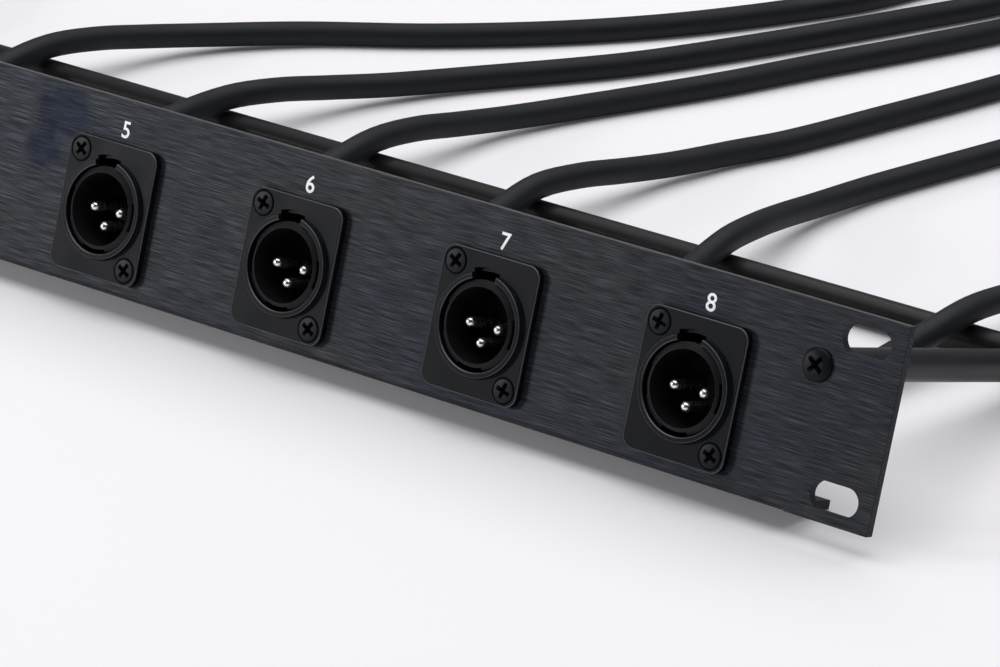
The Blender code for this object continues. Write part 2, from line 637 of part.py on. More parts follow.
def build_sockets(frame):
    cast = make_material("shell_black", (0.014, 0.015, 0.018), 0.38)
    plastic = make_material("insert_black", (0.012, 0.012, 0.014), 0.45)
    steel = make_material("flange_screw_black", (0.02, 0.02, 0.022), 0.28, 0.8)
    shell = shell_mesh()
    insert = insert_mesh()
    screw = flange_screw_mesh()
    for index in range(SOCKET_COUNT):
        number = index + 1
        x = socket_x(index)
        place(f"shell_{number}", shell, cast, frame, (x, 0.0, SOCKET_Z))
        place(f"insert_{number}", insert, plastic, frame, (x, 0.0, SOCKET_Z))
        for word, (dx, dz) in zip(("upper", "lower"), flange_screw_places()):
            place(f"flange_screw_{number}_{word}", screw, steel, frame, (x + dx, 0.0, SOCKET_Z + dz))


def build_tails():
    rubber = make_material("cable_black", (0.011, 0.011, 0.012), 0.6)
    shade = make_material("plug_black", (0.03, 0.03, 0.033), 0.35, 0.7)
    plug = plug_mesh()
    for index, tail in enumerate(TAILS[:SOCKET_COUNT]):
        number = index + 1
        route = stretch_points(index, tail)
        stretch = tube(f"tail_{number}", route, CABLE_RADIUS, TAIL_RESOLUTION)
        stretch.data.materials.append(rubber)
        heading = route[-1] - route[-2]
        heading.z = 0.0
        heading.normalize()
        entry = route[-1] + heading * GAP
        points, end_heading = fitted_coil(entry, heading, tail, TAIL_LENGTH - path_length(route))
        coil = tube(f"coil_{number}", points, CABLE_RADIUS, COIL_RESOLUTION)
        coil.data.materials.append(rubber)
        print(f"coil {number}: least gap between turns {least_gap(points) / MM:.2f} mm")
        jack = place(f"plug_{number}", plug, shade, None, points[-1] + end_heading * GAP)
        jack.rotation_euler.z = math.atan2(-end_heading.x, end_heading.y)


def main():
    clear_scene()
    frame = bpy.data.objects.new("panel_frame", None)
    bpy.context.scene.collection.objects.link(frame)
    frame.matrix_world = (Matrix.Translation(to_world(0.0, 0.0, 0.0)) @ Matrix.Rotation(-LEAN, 4, "X"))
    build_panel(frame)
    build_bar(frame)
    build_sockets(frame)
    build_tails()


main()
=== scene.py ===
"""Looks of the one-unit rack panel with eight male XLR sockets, a lacing bar and eight cable tails.

The panel's own pieces are drawn upright in its own frame: X along the panel, Y to the rear and Z
up, with the origin at the middle of its front face. They are then leaned back together. The
cables, the floor, the lamps and the camera are placed in the world's frame. Sizes are in metres.
"""
import math
from collections import namedtuple
from math import cos, pi, radians, sin, tau

import bmesh
import bpy
from mathutils import Matrix, Quaternion, Vector


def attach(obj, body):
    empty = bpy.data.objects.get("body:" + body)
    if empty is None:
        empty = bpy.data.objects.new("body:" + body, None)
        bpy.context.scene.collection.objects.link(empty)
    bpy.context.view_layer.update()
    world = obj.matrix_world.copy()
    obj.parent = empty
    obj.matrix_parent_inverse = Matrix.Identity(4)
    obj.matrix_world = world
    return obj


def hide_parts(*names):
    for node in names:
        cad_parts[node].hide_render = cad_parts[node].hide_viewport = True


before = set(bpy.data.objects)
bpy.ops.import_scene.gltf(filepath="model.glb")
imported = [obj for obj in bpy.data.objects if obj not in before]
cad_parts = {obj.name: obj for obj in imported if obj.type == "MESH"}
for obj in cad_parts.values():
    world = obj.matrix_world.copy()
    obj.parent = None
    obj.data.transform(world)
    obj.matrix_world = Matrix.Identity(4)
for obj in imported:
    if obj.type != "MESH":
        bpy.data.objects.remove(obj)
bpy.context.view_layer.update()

MM = 0.001

# Panel
PANEL_WIDTH = 482.6 * MM
PANEL_HEIGHT = 44 * MM
PANEL_THICKNESS = 2 * MM
PANEL_EDGE = 0.12 * MM
PANEL_CORNER_RADIUS = 0.4 * MM
FOLD_DEPTH = 17 * MM
FOLD_WIDTH = 440.8 * MM
FOLD_OUTER_RADIUS = 1.2 * MM
RACK_SLOT_SPACING_X = 463.6 * MM
RACK_SLOT_SPACING_Z = 32.8 * MM
RACK_SLOT_LENGTH = 11.8 * MM
RACK_SLOT_HEIGHT = 6.1 * MM

# Sockets
SOCKET_COUNT = 8
SOCKET_PITCH = 54.8 * MM
SOCKET_Z = -3.4 * MM
FLANGE_WIDTH = 26 * MM
FLANGE_HEIGHT = 31 * MM
FLANGE_FRONT = -1.8 * MM
FLANGE_CORNER_RADIUS = 3 * MM
FLANGE_EDGE = 0.35 * MM
COLLAR_BASE_RADIUS = 11.65 * MM
COLLAR_LIP_RADIUS = 11.25 * MM
COLLAR_HEIGHT = 1.15 * MM
COLLAR_FOOT = 0.12 * MM
BARREL_EDGE = 0.3 * MM
LIP_EDGE = 0.2 * MM
SHELL_BORE_RADIUS = 10.15 * MM
BARREL_RADIUS = 11.8 * MM
BARREL_END = 19 * MM
WINDOW_WIDTH = 7.2 * MM
WINDOW_MIDDLE = radians(93.3)
WINDOW_DEPTH = 1.3 * MM
WINDOW_REACH = 12.4 * MM
BORE_FLARE = 0.2 * MM
BARREL_WALL = 0.2 * MM
POCKET_END = 6 * MM

# Inserts
INSERT_RADIUS = 9.85 * MM
CAVITY_RADIUS = 8.26 * MM
CAVITY_FLOOR = 9 * MM
SLEEVE_INNER_RISE = 1 * MM
SLEEVE_OUTER_RISE = 0.2 * MM
RECESS_ANGLES = (0, 181, 269)
RECESS_HALF_TURN = radians(20)
RECESS_DEPTH = 0.75 * MM
RECESS_END = 6 * MM
PIN_RADIUS = 1.2 * MM
PIN_TIP = -1 * MM
PIN_ROOT = 0.5 * MM
PIN_PLACES = ((-3.85 * MM, -0.1 * MM), (3.85 * MM, -0.1 * MM), (0, -3.9 * MM))
PIN_SEAT_RADIUS = 1.9 * MM
PIN_SEAT_HEIGHT = 0.5 * MM
BOOT_SHOULDER_RADIUS = 7.8 * MM
BOOT_SHOULDER_LENGTH = 3 * MM
BOOT_END_RADIUS = 3.9 * MM
BOOT_TAPER_LENGTH = 8 * MM
BOOT_LENGTH = 16 * MM
SLEEVE_EDGE = 0.2 * MM
BOOT_EDGE = 0.25 * MM
BOOT_MOUTH_DEPTH = 1 * MM

# Screws
FLANGE_SCREW_PLACES = ((-9.5 * MM, 12 * MM), (9.5 * MM, -12 * MM))
FLANGE_SCREW_HEAD_RADIUS = 2.7 * MM
FLANGE_SCREW_HEAD_HEIGHT = 1.3 * MM
FLANGE_SCREW_CROWN = 0.2 * MM
FLANGE_SCREW_SHANK_RADIUS = 1.4 * MM
FLANGE_SCREW_END = 4 * MM
FLANGE_SCREW_EDGE = 0.12 * MM
BAR_SCREW_HEAD_RADIUS = 3.65 * MM
BAR_SCREW_HEAD_HEIGHT = 1.2 * MM
BAR_SCREW_SHANK_RADIUS = 1.8 * MM
BAR_SCREW_END = 10 * MM
BAR_SCREW_EDGE = 0.25 * MM

# Front of each head: shares of its radius, and drops from its middle
FLANGE_SCREW_FRONT = ((0, 0), (0.5, 0.02 * MM), (0.9, 0.1 * MM))
BAR_SCREW_FRONT = ((0, 0), (0.55, 0.04 * MM), (0.88, 0.35 * MM), (1, 0.8 * MM))

# Cross recesses: reach, width and depth
FLANGE_SCREW_CROSS = (1.95 * MM, 1.05 * MM, 1.5 * MM)
BAR_SCREW_CROSS = (2.3 * MM, 1.15 * MM, 1.5 * MM)
CROSS_FOOT_SHARE = 0.42
CROSS_ABOVE = 0.5 * MM

# Turn of the cross in each flange screw, upper and lower
SCREW_TURNS = ((12, 40), (70, 22), (33, 8), (51, 64),
          (35, 28), (20, 30), (28, 15), (12, 24))

# Side, name and turn of each bar screw
BAR_SCREWS = ((-1, "left", 25), (1, "right", 38))

# Lacing bar
BAR_RADIUS = 3.6 * MM
BAR_ARM_SPACING = 442.8 * MM
BAR_Z = 9.1 * MM
BAR_REACH = 96 * MM
BAR_BEND_RADIUS = 14 * MM

# Cables
GAP = 0.3 * MM
CABLE_DIAMETER = 6.2 * MM
TAIL_LENGTH = 750 * MM
TABLE_CLEARANCE = 0.05 * MM
STRAIGHT_DIAMETERS = 2
ROUTE_STEP_DIAMETERS = 3
DRAWN_STEP = 3 * MM
INSIDE_BOOT = 6 * MM

# Coils
COIL_POINTS_PER_LOOP = 24
DRAWN_POINTS_PER_LOOP = 72
COIL_PITCH = 7.1 * MM
COIL_CLIMB = 7 * MM
COIL_STEP_OUT = 7.6 * MM
COIL_STEP_OUT_START = radians(105)
COIL_STEP_OUT_END = radians(10)
COIL_DROP_START = radians(60)
RADIUS_ROUNDS = 8

# Jack plugs
PLUG_BOOT_RADIUS = 4 * MM
PLUG_BOOT_END_RADIUS = 5.2 * MM
PLUG_BOOT_LENGTH = 16 * MM
PLUG_HANDLE_RADIUS = 7 * MM
PLUG_HANDLE_LENGTH = 36 * MM
PLUG_SHAFT_RADIUS = 3.175 * MM
PLUG_SHAFT_LENGTH = 30.2 * MM
PLUG_TIP_LENGTH = 7.4 * MM
PLUG_RIB_COUNT = 5
PLUG_RIB_START = 2 * MM
PLUG_RIB_STEP = 2.2 * MM
PLUG_RIB_DEPTH = 0.7 * MM
PLUG_HANDLE_CHAMFER = 0.8 * MM
PLUG_RING_WIDTH = 1.4 * MM
PLUG_RING_DEPTH = 0.08 * MM
PLUG_BAND = 4.6 * MM
PLUG_BOOT_EDGE = 0.3 * MM
PLUG_HANDLE_EDGE = 0.5 * MM
PLUG_SHAFT_EDGE = 0.15 * MM
PLUG_TIP_EDGE = 0.7 * MM

# One rib: share of the groove's depth, and distance along in millimetres
PLUG_RIB_SHAPE = ((0, 0), (1, 0.3), (1, 0.9), (0, 1.2))

# Handle: how far in from its radius, and how far along, in millimetres
PLUG_HANDLE_SHAPE = ((1.4, 0), (0.5, 2), (0, 5), (0, 22), (0.45, 22.4), (0.45, 24),
                     (0, 24.4))

# Tip: radius, and distance past the neck, in millimetres
PLUG_TIP_SHAPE = ((0, 0), (2.7, 0), (2.2, 0.9), (2.75, 3.3), (2.475, 4.6), (0.7, 7.1), (0, 7.4))

# Places of the cables over the bar, as rear distance and height, shared by all eight tails
TAIL_RISE = ((18, 6.9), (34, 9), (49, 10.7), (62, 9.8), (76, 7.2), (92, 4.6),
             (110, 3.4))

# Route of each tail: its X at the places above, its points on the table, its coil's turn, loops and tie
LEFT = 1
RIGHT = -1
Tail = namedtuple("Tail", "over_bar table turn loops tie")
TAILS = (
    Tail((-192.2, -192.8, -193.6, -194.6, -196, -198, -200.2),
         ((-206, 140), (-211, 175), (-214, 210), (-215, 255)), RIGHT, 2.2, 0.55),
    Tail((-138, -140, -142.6, -145, -147.2, -149, -150),
         ((-150, 140), (-149, 170), (-149, 195)), RIGHT, 2.3, 0.6),
    Tail((-83.5, -84.6, -82.4, -78.7, -75, -67.8, -51.8),
         ((-23.9, 130.2), (1.9, 153), (21, 175.1), (37.8, 200.8), (48, 220), (54, 240)),
         LEFT, 2.2, 0.5),
    Tail((-27.8, -26.4, -22, -17.6, -13.5, -7.2, 3.6),
         ((28.8, 143.4), (41.9, 166), (54.5, 190.2), (65.5, 213), (77.3, 238.9), (87, 270),
          (92, 305), (93, 345), (93, 388)), LEFT, 1.3, 0.08),
    Tail((25.9, 24.8, 25.5, 26.9, 28.5, 31.2, 37.9),
         ((56.4, 146.7), (67.5, 172.1), (79.2, 197.4), (89.3, 221), (99, 250), (105, 285),
          (106, 325), (106, 362), (106, 400)), RIGHT, 1.3, 0.08),
    Tail((78.6, 75.6, 75.4, 77.6, 79.7, 82.4, 87.6),
         ((92.9, 122.4), (102.5, 153), (112.4, 186.9), (119.5, 216), (122.5, 250), (123, 284)),
         RIGHT, 2.2, 0.5),
    Tail((134.4, 132, 130.6, 129.2, 126.6, 125.3, 127),
         ((131.6, 128.1), (137.8, 149.2), (144, 172), (148, 201)), RIGHT, 2.3, 0.6),
    Tail((193.6, 195.8, 197.5, 198.9, 199.6, 199.4, 198.6),
         ((199.5, 127), (203, 142)), RIGHT, 2.5, 0.7),
)

# Ties round the coils
TIE_WIDTH = 9 * MM
TIE_THICKNESS = 0.8 * MM
TIE_SLACK = 0.45 * MM

# Shares of a tie's thickness and width where its rounded edges start
TIE_EDGE_DEPTH = 0.3
TIE_CREST = 0.47

# Sides of the round solids
SOCKET_SIDES = 96
LARGE_SIDES = 64
HANDLE_SIDES = 56
BAR_SCREW_SIDES = 48
SCREW_SIDES = 40
PIN_SIDES = 32
SMALL_SIDES = 24
CABLE_RESOLUTION = 8
BAR_RESOLUTION = 10

# Steps of the rounded corners and ends
ARC_STEPS = 20
BEND_STEPS = 12
CORNER_STEPS = 10
DOME_STEPS = 8
EDGE_STEPS = 4

# Camera: its place, where it looks, its roll and its lens
CAMERA_PLACE = (789.21 * MM, -836.54 * MM, 457.52 * MM)
CAMERA_AZIMUTH = radians(39.34)
CAMERA_ELEVATION = radians(23.06)
CAMERA_ROLL = radians(-0.676)
LENS = 188
SENSOR_WIDTH = 36
CLIP_START = 0.01
CLIP_END = 50

# Sizes worked out from the ones above
CABLE_RADIUS = CABLE_DIAMETER / 2
CABLE_REST = CABLE_RADIUS + TABLE_CLEARANCE
PLUG_REST = PLUG_HANDLE_RADIUS + TABLE_CLEARANCE
COLLAR_FRONT = FLANGE_FRONT - COLLAR_HEIGHT
BOOT_END = BARREL_END + BOOT_LENGTH
FOLD_EDGE = (FOLD_DEPTH, -PANEL_HEIGHT / 2)
PLUG_LENGTH = PLUG_BOOT_LENGTH + PLUG_HANDLE_LENGTH + PLUG_SHAFT_LENGTH


def lean_angle():
    """Angle at which the folded lip's rear edge and the bar's underside touch one level."""
    rear = BAR_REACH - FOLD_EDGE[0]
    rise = BAR_Z - FOLD_EDGE[1]
    return math.atan2(rise, rear) - math.asin(BAR_RADIUS / math.hypot(rear, rise))


LEAN = lean_angle()


def leaned(y, z):
    """Rear distance and height of a panel point after leaning, from the lip's rear edge."""
    rear = y - FOLD_EDGE[0]
    rise = z - FOLD_EDGE[1]
    return (rear * cos(LEAN) + rise * sin(LEAN), rise * cos(LEAN) - rear * sin(LEAN))


def lip_edge_y():
    """World Y of the lip's rear edge, which centres the part without its cables on Y."""
    flange_low = SOCKET_Z - FLANGE_HEIGHT / 2
    front = min(leaned(FLANGE_FRONT + FLANGE_EDGE, flange_low)[0], leaned(0, FOLD_EDGE[1])[0])
    rear = leaned(BAR_REACH, BAR_Z)[0] + BAR_RADIUS
    return -(front + rear) / 2


LIP_EDGE_Y = lip_edge_y()


def to_world(x, y, z):
    """World place of a point in the panel's own frame."""
    rear, height = leaned(y, z)
    return Vector((x, rear + LIP_EDGE_Y, height))


PANEL_PLACE = Matrix.Translation(to_world(0, 0, 0)) @ Matrix.Rotation(-LEAN, 4, "X")


def socket_x(index):
    return (index - (SOCKET_COUNT - 1) / 2) * SOCKET_PITCH


# Pieces of node trees

def add_node(tree, kind, inputs=(), **settings):
    """Shader node of one kind, its inputs set to plain values or linked to another node's sockets."""
    made = tree.nodes.new("ShaderNode" + kind)
    for name, value in settings.items():
        setattr(made, name, value)
    for name, value in dict(inputs).items():
        if isinstance(value, bpy.types.NodeSocket):
            tree.links.new(value, made.inputs[name])
        else:
            made.inputs[name].default_value = value
    return made


def output_of(tree, kind, output, inputs=(), **settings):
    """One output of a new node."""
    return add_node(tree, kind, inputs, **settings).outputs[output]


def noise(tree, scale, stretch=(1, 1, 1), detail=2):
    """Noise over the object's own coordinates, with its scale in features for each metre."""
    place = output_of(tree, "TexCoord", "Object")
    place = output_of(tree, "Mapping", "Vector", {"Vector": place, "Scale": stretch})
    return output_of(tree, "TexNoise", "Fac", {"Vector": place, "Scale": scale, "Detail": detail})


def spread(tree, value, low, high, start=0.35, end=0.65):
    """Value between start and end, taken to low and high."""
    return output_of(tree, "MapRange", "Result", {"Value": value, "From Min": start, "From Max": end,
                                                  "To Min": low, "To Max": high})


def shaded(tree, value, dark, light, start=0.3, end=0.7):
    """Colour from dark to light as the value goes from start to end."""
    ramp = add_node(tree, "ValToRGB", {"Fac": value})
    for element, position, colour in zip(ramp.color_ramp.elements, (start, end), (dark, light)):
        element.position = position
        element.color = (*colour, 1)
    return ramp.outputs["Color"]


def multiplied(tree, share, first, second):
    """First colour times the second, by a share."""
    return output_of(tree, "MixRGB", "Color", {"Fac": share, "Color1": first, "Color2": second},
                     blend_type="MULTIPLY")


def calculated(tree, operation, first, second):
    """Result of one operation on two values."""
    return output_of(tree, "Math", "Value", {0: first, 1: second}, operation=operation)


def bumped(tree, height, distance):
    """Normal of a bump of the given height in metres."""
    return output_of(tree, "Bump", "Normal", {"Height": height, "Distance": distance, "Strength": 1})


def new_material(name, **values):
    """Material with one Principled shader, set with plain values by its sockets' names."""
    material = bpy.data.materials.new(name)
    material.use_nodes = True
    shader = material.node_tree.nodes["Principled BSDF"]
    for key, value in values.items():
        shader.inputs[key.replace("_", " ")].default_value = value
    return material, material.node_tree, shader


def feed(tree, shader, **sockets):
    """Links sockets to the shader's inputs by name."""
    for name, socket in sockets.items():
        tree.links.new(socket, shader.inputs[name.replace("_", " ")])


# Materials

STREAK_DARK = (0.0152, 0.0159, 0.0183)
STREAK_LIGHT = (0.0475, 0.0503, 0.0580)
STREAK_RANGE = (0.42, 0.66)
FINE_BRUSHING = (130, 6200, 6200)
BROAD_BRUSHING = (40, 1300, 1300)
BROAD_SHARE = 0.2
BRUSHED_GLOSS = (0.6, 0.5)
BRUSHED_RELIEF = 0.006 * MM
COOL_TONE = (0.86, 0.92, 1)
TONE_SCALE = 34
TONE_STRETCH = (0.6, 1, 1)
TONE_RANGE = (0.4, 0.6)
PLAIN = (1, 1, 1)

# Soft bluish patches on the panel: middle and reach, along and up
PATCHES = (((0.0098, 0.0152), (0.0090, 0.0066)), ((0.0048, 0.0062), (0.0052, 0.0058)))
PATCH_TINT = (0.48, 0.58, 0.80, 1)
PATCH_GRAIN = 260
PATCH_FADE = (1.15, 1.65)

# Grain of a black surface to the wider noise in its colour and gloss
WIDE_GRAIN = 24


def patch_share(tree, middle, reach):
    """1 in the middle of a soft patch on the panel, 0 outside it."""
    place = output_of(tree, "TexCoord", "Object")
    scale = (1 / reach[0], 0, 1 / reach[1])
    shift = (-middle[0] / reach[0], 0, -middle[1] / reach[1])
    place = output_of(tree, "Mapping", "Vector", {"Vector": place, "Scale": scale, "Location": shift})
    away = output_of(tree, "VectorMath", "Value", {0: place}, operation="LENGTH")
    rough = calculated(tree, "ADD", noise(tree, PATCH_GRAIN), away)
    return spread(tree, rough, 1, 0, *PATCH_FADE)


def anodised_material():
    """Black anodised aluminium, brushed along X, with faint blue patches."""
    material, tree, shader = new_material("anodised_black", Metallic=0.6, Specular_IOR_Level=0.13)
    fine = noise(tree, 1, FINE_BRUSHING)
    broad = noise(tree, 1, BROAD_BRUSHING)
    tones = noise(tree, TONE_SCALE, TONE_STRETCH)
    both = output_of(tree, "Mix", "Result", {0: BROAD_SHARE, 2: fine, 3: broad})
    streaks = shaded(tree, both, STREAK_DARK, STREAK_LIGHT, *STREAK_RANGE)
    mixed = multiplied(tree, 1, streaks, shaded(tree, tones, COOL_TONE, PLAIN, *TONE_RANGE))
    gloss = spread(tree, both, *BRUSHED_GLOSS, *STREAK_RANGE)
    for middle, reach in PATCHES:
        mixed = multiplied(tree, patch_share(tree, middle, reach), mixed, PATCH_TINT)
    feed(tree, shader, Base_Color=mixed, Roughness=gloss, Normal=bumped(tree, both, BRUSHED_RELIEF))
    return material


def plain_black(name, dark, light, roughness, grain, height, specular, metallic=0):
    """Black surface with a fine grain in its relief and a wider one in its colour and gloss."""
    material, tree, shader = new_material(name, Specular_IOR_Level=specular, Metallic=metallic)
    value = noise(tree, grain, detail=3)
    wide = noise(tree, grain / WIDE_GRAIN)
    feed(tree, shader, Base_Color=shaded(tree, wide, dark, light), Roughness=spread(tree, wide, *roughness),
         Normal=bumped(tree, value, height))
    return material


def contact_material():
    """Bright plated contact, with faint turning marks."""
    marks_scale = (500, 6000, 500)
    dark = (0.80, 0.79, 0.77)
    light = (0.93, 0.92, 0.90)
    roughness = (0.22, 0.32)
    relief = 0.002 * MM
    material, tree, shader = new_material("contact_silver", Metallic=1)
    marks = noise(tree, 1, marks_scale)
    feed(tree, shader, Base_Color=shaded(tree, marks, dark, light), Normal=bumped(tree, marks, relief),
         Roughness=spread(tree, marks, *roughness))
    return material


def print_material():
    """White screen-printed ink."""
    grain = 3000
    dark = (0.93, 0.94, 0.96)
    material, tree, shader = new_material("number_ink", Roughness=0.6)
    feed(tree, shader, Base_Color=shaded(tree, noise(tree, grain), dark, PLAIN))
    return material


def strap_material():
    """Black woven hook-and-loop strap."""
    threads = 1600
    dark = (0.012, 0.012, 0.013)
    light = (0.03, 0.03, 0.032)
    relief = 0.12 * MM
    material, tree, shader = new_material("strap_black", Roughness=0.85, Sheen_Weight=0.3)
    place = output_of(tree, "TexCoord", "Object")
    weave = output_of(tree, "TexVoronoi", "Distance", {"Vector": place, "Scale": threads})
    feed(tree, shader, Base_Color=shaded(tree, weave, dark, light), Normal=bumped(tree, weave, relief))
    return material


ANODISED = anodised_material()

# Black surfaces: dark and light colour, roughness, grains for each metre, relief, reflection, metal
CAST = plain_black("casting_black", (0.0025, 0.003, 0.0045), (0.0045, 0.0055, 0.0075), (0.42, 0.5), 2600,
                   0.004 * MM, 0.08)
MOULDED = plain_black("moulded_black", (0.005, 0.0055, 0.0065), (0.008, 0.0085, 0.010), (0.38, 0.48), 1800,
                      0.004 * MM, 0.18)
SCREW_STEEL = plain_black("screw_black", (0.004, 0.0045, 0.006), (0.007, 0.008, 0.0105), (0.36, 0.44),
                          2200, 0.003 * MM, 0.1)
# Lighter rim on the casting's rounded front edges: painted highlight lines, partly thinner paint on the
# edges
CAST_RIM_HIGHLIGHT = plain_black("casting_rim_highlight", (0.040, 0.042, 0.046), (0.070, 0.072, 0.077), (0.3, 0.4), 1800,
                       0.002 * MM, 0.5)
# Lighter bare-metal rim on the plate's upper edge only: a painted highlight line
PANEL_RIM_HIGHLIGHT = plain_black("panel_rim_highlight", (0.030, 0.029, 0.027), (0.048, 0.047, 0.044), (0.4, 0.5), 900,
                        0.002 * MM, 0.5)
PAINTED = plain_black("bar_black", (0.007, 0.007, 0.008), (0.011, 0.011, 0.0125), (0.33, 0.42), 1200,
                      0.008 * MM, 0.22)
JACKET = plain_black("jacket_black", (0.007, 0.0085, 0.012), (0.010, 0.012, 0.016), (0.5, 0.62), 1500,
                     0.01 * MM, 0.22)
SHRINK = plain_black("shrink_black", (0.008, 0.008, 0.009), (0.014, 0.014, 0.015), (0.36, 0.5), 500,
                     0.03 * MM, 0.45)
HANDLE = plain_black("handle_black", (0.012, 0.012, 0.014), (0.02, 0.02, 0.023), (0.3, 0.4), 1500,
                     0.005 * MM, 0.5, 0.5)
CONTACT = contact_material()
INK = print_material()
STRAP = strap_material()


# Solids

def finished_mesh(name, bm):
    """Mesh of a closed bmesh, with its faces turned outward."""
    bmesh.ops.recalc_face_normals(bm, faces=bm.faces)
    mesh = bpy.data.meshes.new(name)
    bm.to_mesh(mesh)
    bm.free()
    return mesh


def gathered(meshes):
    """One mesh that holds several separate ones."""
    bm = bmesh.new()
    for mesh in meshes:
        bm.from_mesh(mesh)
    return finished_mesh("gathered", bm)


def placed(name, data):
    """Object with the given data, in the scene."""
    obj = bpy.data.objects.new(name, data)
    bpy.context.scene.collection.objects.link(obj)
    return obj


def combined(base, tools, operation):
    """Mesh of base after the tool meshes are joined to it or cut from it."""
    body = placed("body", base)
    helper = placed("tool", gathered(tools))
    change = body.modifiers.new("change", "BOOLEAN")
    change.operation = operation
    change.solver = "EXACT"
    change.object = helper
    depsgraph = bpy.context.evaluated_depsgraph_get()
    result = bpy.data.meshes.new_from_object(body.evaluated_get(depsgraph))
    for obj in (body, helper):
        bpy.data.objects.remove(obj, do_unlink=True)
    return result


def edge_arc(radius, steps):
    """Distances back from the front and in from the side, along a rounded edge from side to front."""
    angles = [pi / 2 * step / steps for step in range(steps + 1)]
    return [(radius * (1 - sin(angle)), radius * (1 - cos(angle))) for angle in angles]


# Largest share of an edge that a rounded corner takes
CORNER_SHARE = 0.45


def softened(points, size, steps=3):
    """Open outline with each inner corner rounded off, as far as its neighbours leave room."""
    result = [points[0]]
    for before, corner, after in zip(points[:-2], points[1:-1], points[2:]):
        corner = Vector(corner)
        back = Vector(before) - corner
        ahead = Vector(after) - corner
        start = corner + back.normalized() * min(size, CORNER_SHARE * back.length)
        end = corner + ahead.normalized() * min(size, CORNER_SHARE * ahead.length)
        for step in range(steps + 1):
            share = step / steps
            place = start * (1 - share) ** 2 + corner * 2 * share * (1 - share) + end * share ** 2
            result.append(tuple(place))
    return result + [points[-1]]


# Radius under which a point lies on the axis
ON_AXIS = MM / 1000


def turned(outline, segments, centre=(0, 0), edge=0):
    """Solid turned about a Y axis from (radius, y) points, closed to the axis and with softened edges."""
    if outline[0][0] > ON_AXIS:
        outline = [(0, outline[0][1])] + outline
    if outline[-1][0] > ON_AXIS:
        outline = outline + [(0, outline[-1][1])]
    if edge:
        outline = softened(outline, edge)
    bm = bmesh.new()
    x, z = centre
    turns = [tau * step / segments for step in range(segments)]
    rings = []
    for radius, y in outline:
        if radius < ON_AXIS:
            rings.append([bm.verts.new((x, y, z))])
        else:
            rings.append([bm.verts.new((x + radius * cos(turn), y, z + radius * sin(turn)))
                          for turn in turns])
    for ring, following in zip(rings[:-1], rings[1:]):
        for step in range(segments):
            after = (step + 1) % segments
            corners = [ring[step % len(ring)], ring[after % len(ring)],
                       following[after % len(following)], following[step % len(following)]]
            unique = list(dict.fromkeys(corners))
            if len(unique) > 2:
                bm.faces.new(unique)
    return finished_mesh("turned", bm)


def join_rings(bm, rings):
    """Faces between each ring of vertices and the next."""
    for ring, following in zip(rings[:-1], rings[1:]):
        for index in range(len(ring)):
            after = (index + 1) % len(ring)
            bm.faces.new((ring[index], ring[after], following[after], following[index]))


def stacked(levels):
    """Solid through closed (x, z) outlines at rising y, each level a pair of y and outline."""
    bm = bmesh.new()
    rings = [[bm.verts.new((x, y, z)) for x, z in outline] for y, outline in levels]
    bm.faces.new(rings[0])
    bm.faces.new(rings[-1])
    join_rings(bm, rings)
    return finished_mesh("stacked", bm)


def lengthwise(outline, width):
    """Solid of a (y, z) outline drawn along X, centred on the panel."""
    bm = bmesh.new()
    face = bm.faces.new([bm.verts.new((-width / 2, y, z)) for y, z in outline])
    extruded = bmesh.ops.extrude_face_region(bm, geom=[face])
    moved = [item for item in extruded["geom"] if isinstance(item, bmesh.types.BMVert)]
    bmesh.ops.translate(bm, verts=moved, vec=(width, 0, 0))
    return finished_mesh("lengthwise", bm)


def rounded_outline(width, height, radius, steps, inset=0):
    """Rectangle with round corners, drawn in all round by the inset, as (x, z) points."""
    bend = radius - inset
    points = []
    for side_x, side_z, start in ((1, 1, 0), (-1, 1, 0.5), (-1, -1, 1), (1, -1, 1.5)):
        corner_x = side_x * (width / 2 - radius)
        corner_z = side_z * (height / 2 - radius)
        for step in range(steps + 1):
            angle = pi * (start + 0.5 * step / steps)
            points.append((corner_x + bend * cos(angle), corner_z + bend * sin(angle)))
    return points


def cross_outline(reach, width):
    """Cross with four square arms, as (x, z) points."""
    half = width / 2
    points = []
    for quarter in range(4):
        turn = Matrix.Rotation(pi / 2 * quarter, 2)
        points += [tuple(turn @ Vector(corner)) for corner in ((reach, -half), (reach, half), (half, half))]
    return points


SHARP_ANGLE = radians(32)


def show(name, mesh, material, place, replaces=(), rim_highlight=None, on_rim_highlight=None):
    """Piece of the object from a mesh, smooth up to its sharp edges, with a lighter rim material that paints
    highlight lines on its edges.
    """
    mesh.materials.clear()
    mesh.materials.append(material)
    if rim_highlight:
        mesh.materials.append(rim_highlight)
        for polygon in mesh.polygons:
            polygon.material_index = int(on_rim_highlight(polygon.center, polygon.normal))
    mesh.shade_smooth()
    mesh.set_sharp_from_angle(angle=SHARP_ANGLE)
    piece = placed(name, mesh)
    even = piece.modifiers.new("even", "WEIGHTED_NORMAL")
    even.keep_sharp = True
    piece.matrix_world = place
    return settled(piece, replaces)


def settled(piece, replaces=()):
    """Piece that rides on the object and the nodes that it stands for."""
    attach(piece, "root")
    if replaces:
        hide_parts(*replaces)
    return piece


# Cables

def eased(share):
    """Share from 0 to 1 with a level start and end."""
    share = min(max(share, 0), 1)
    return share * share * (3 - 2 * share)


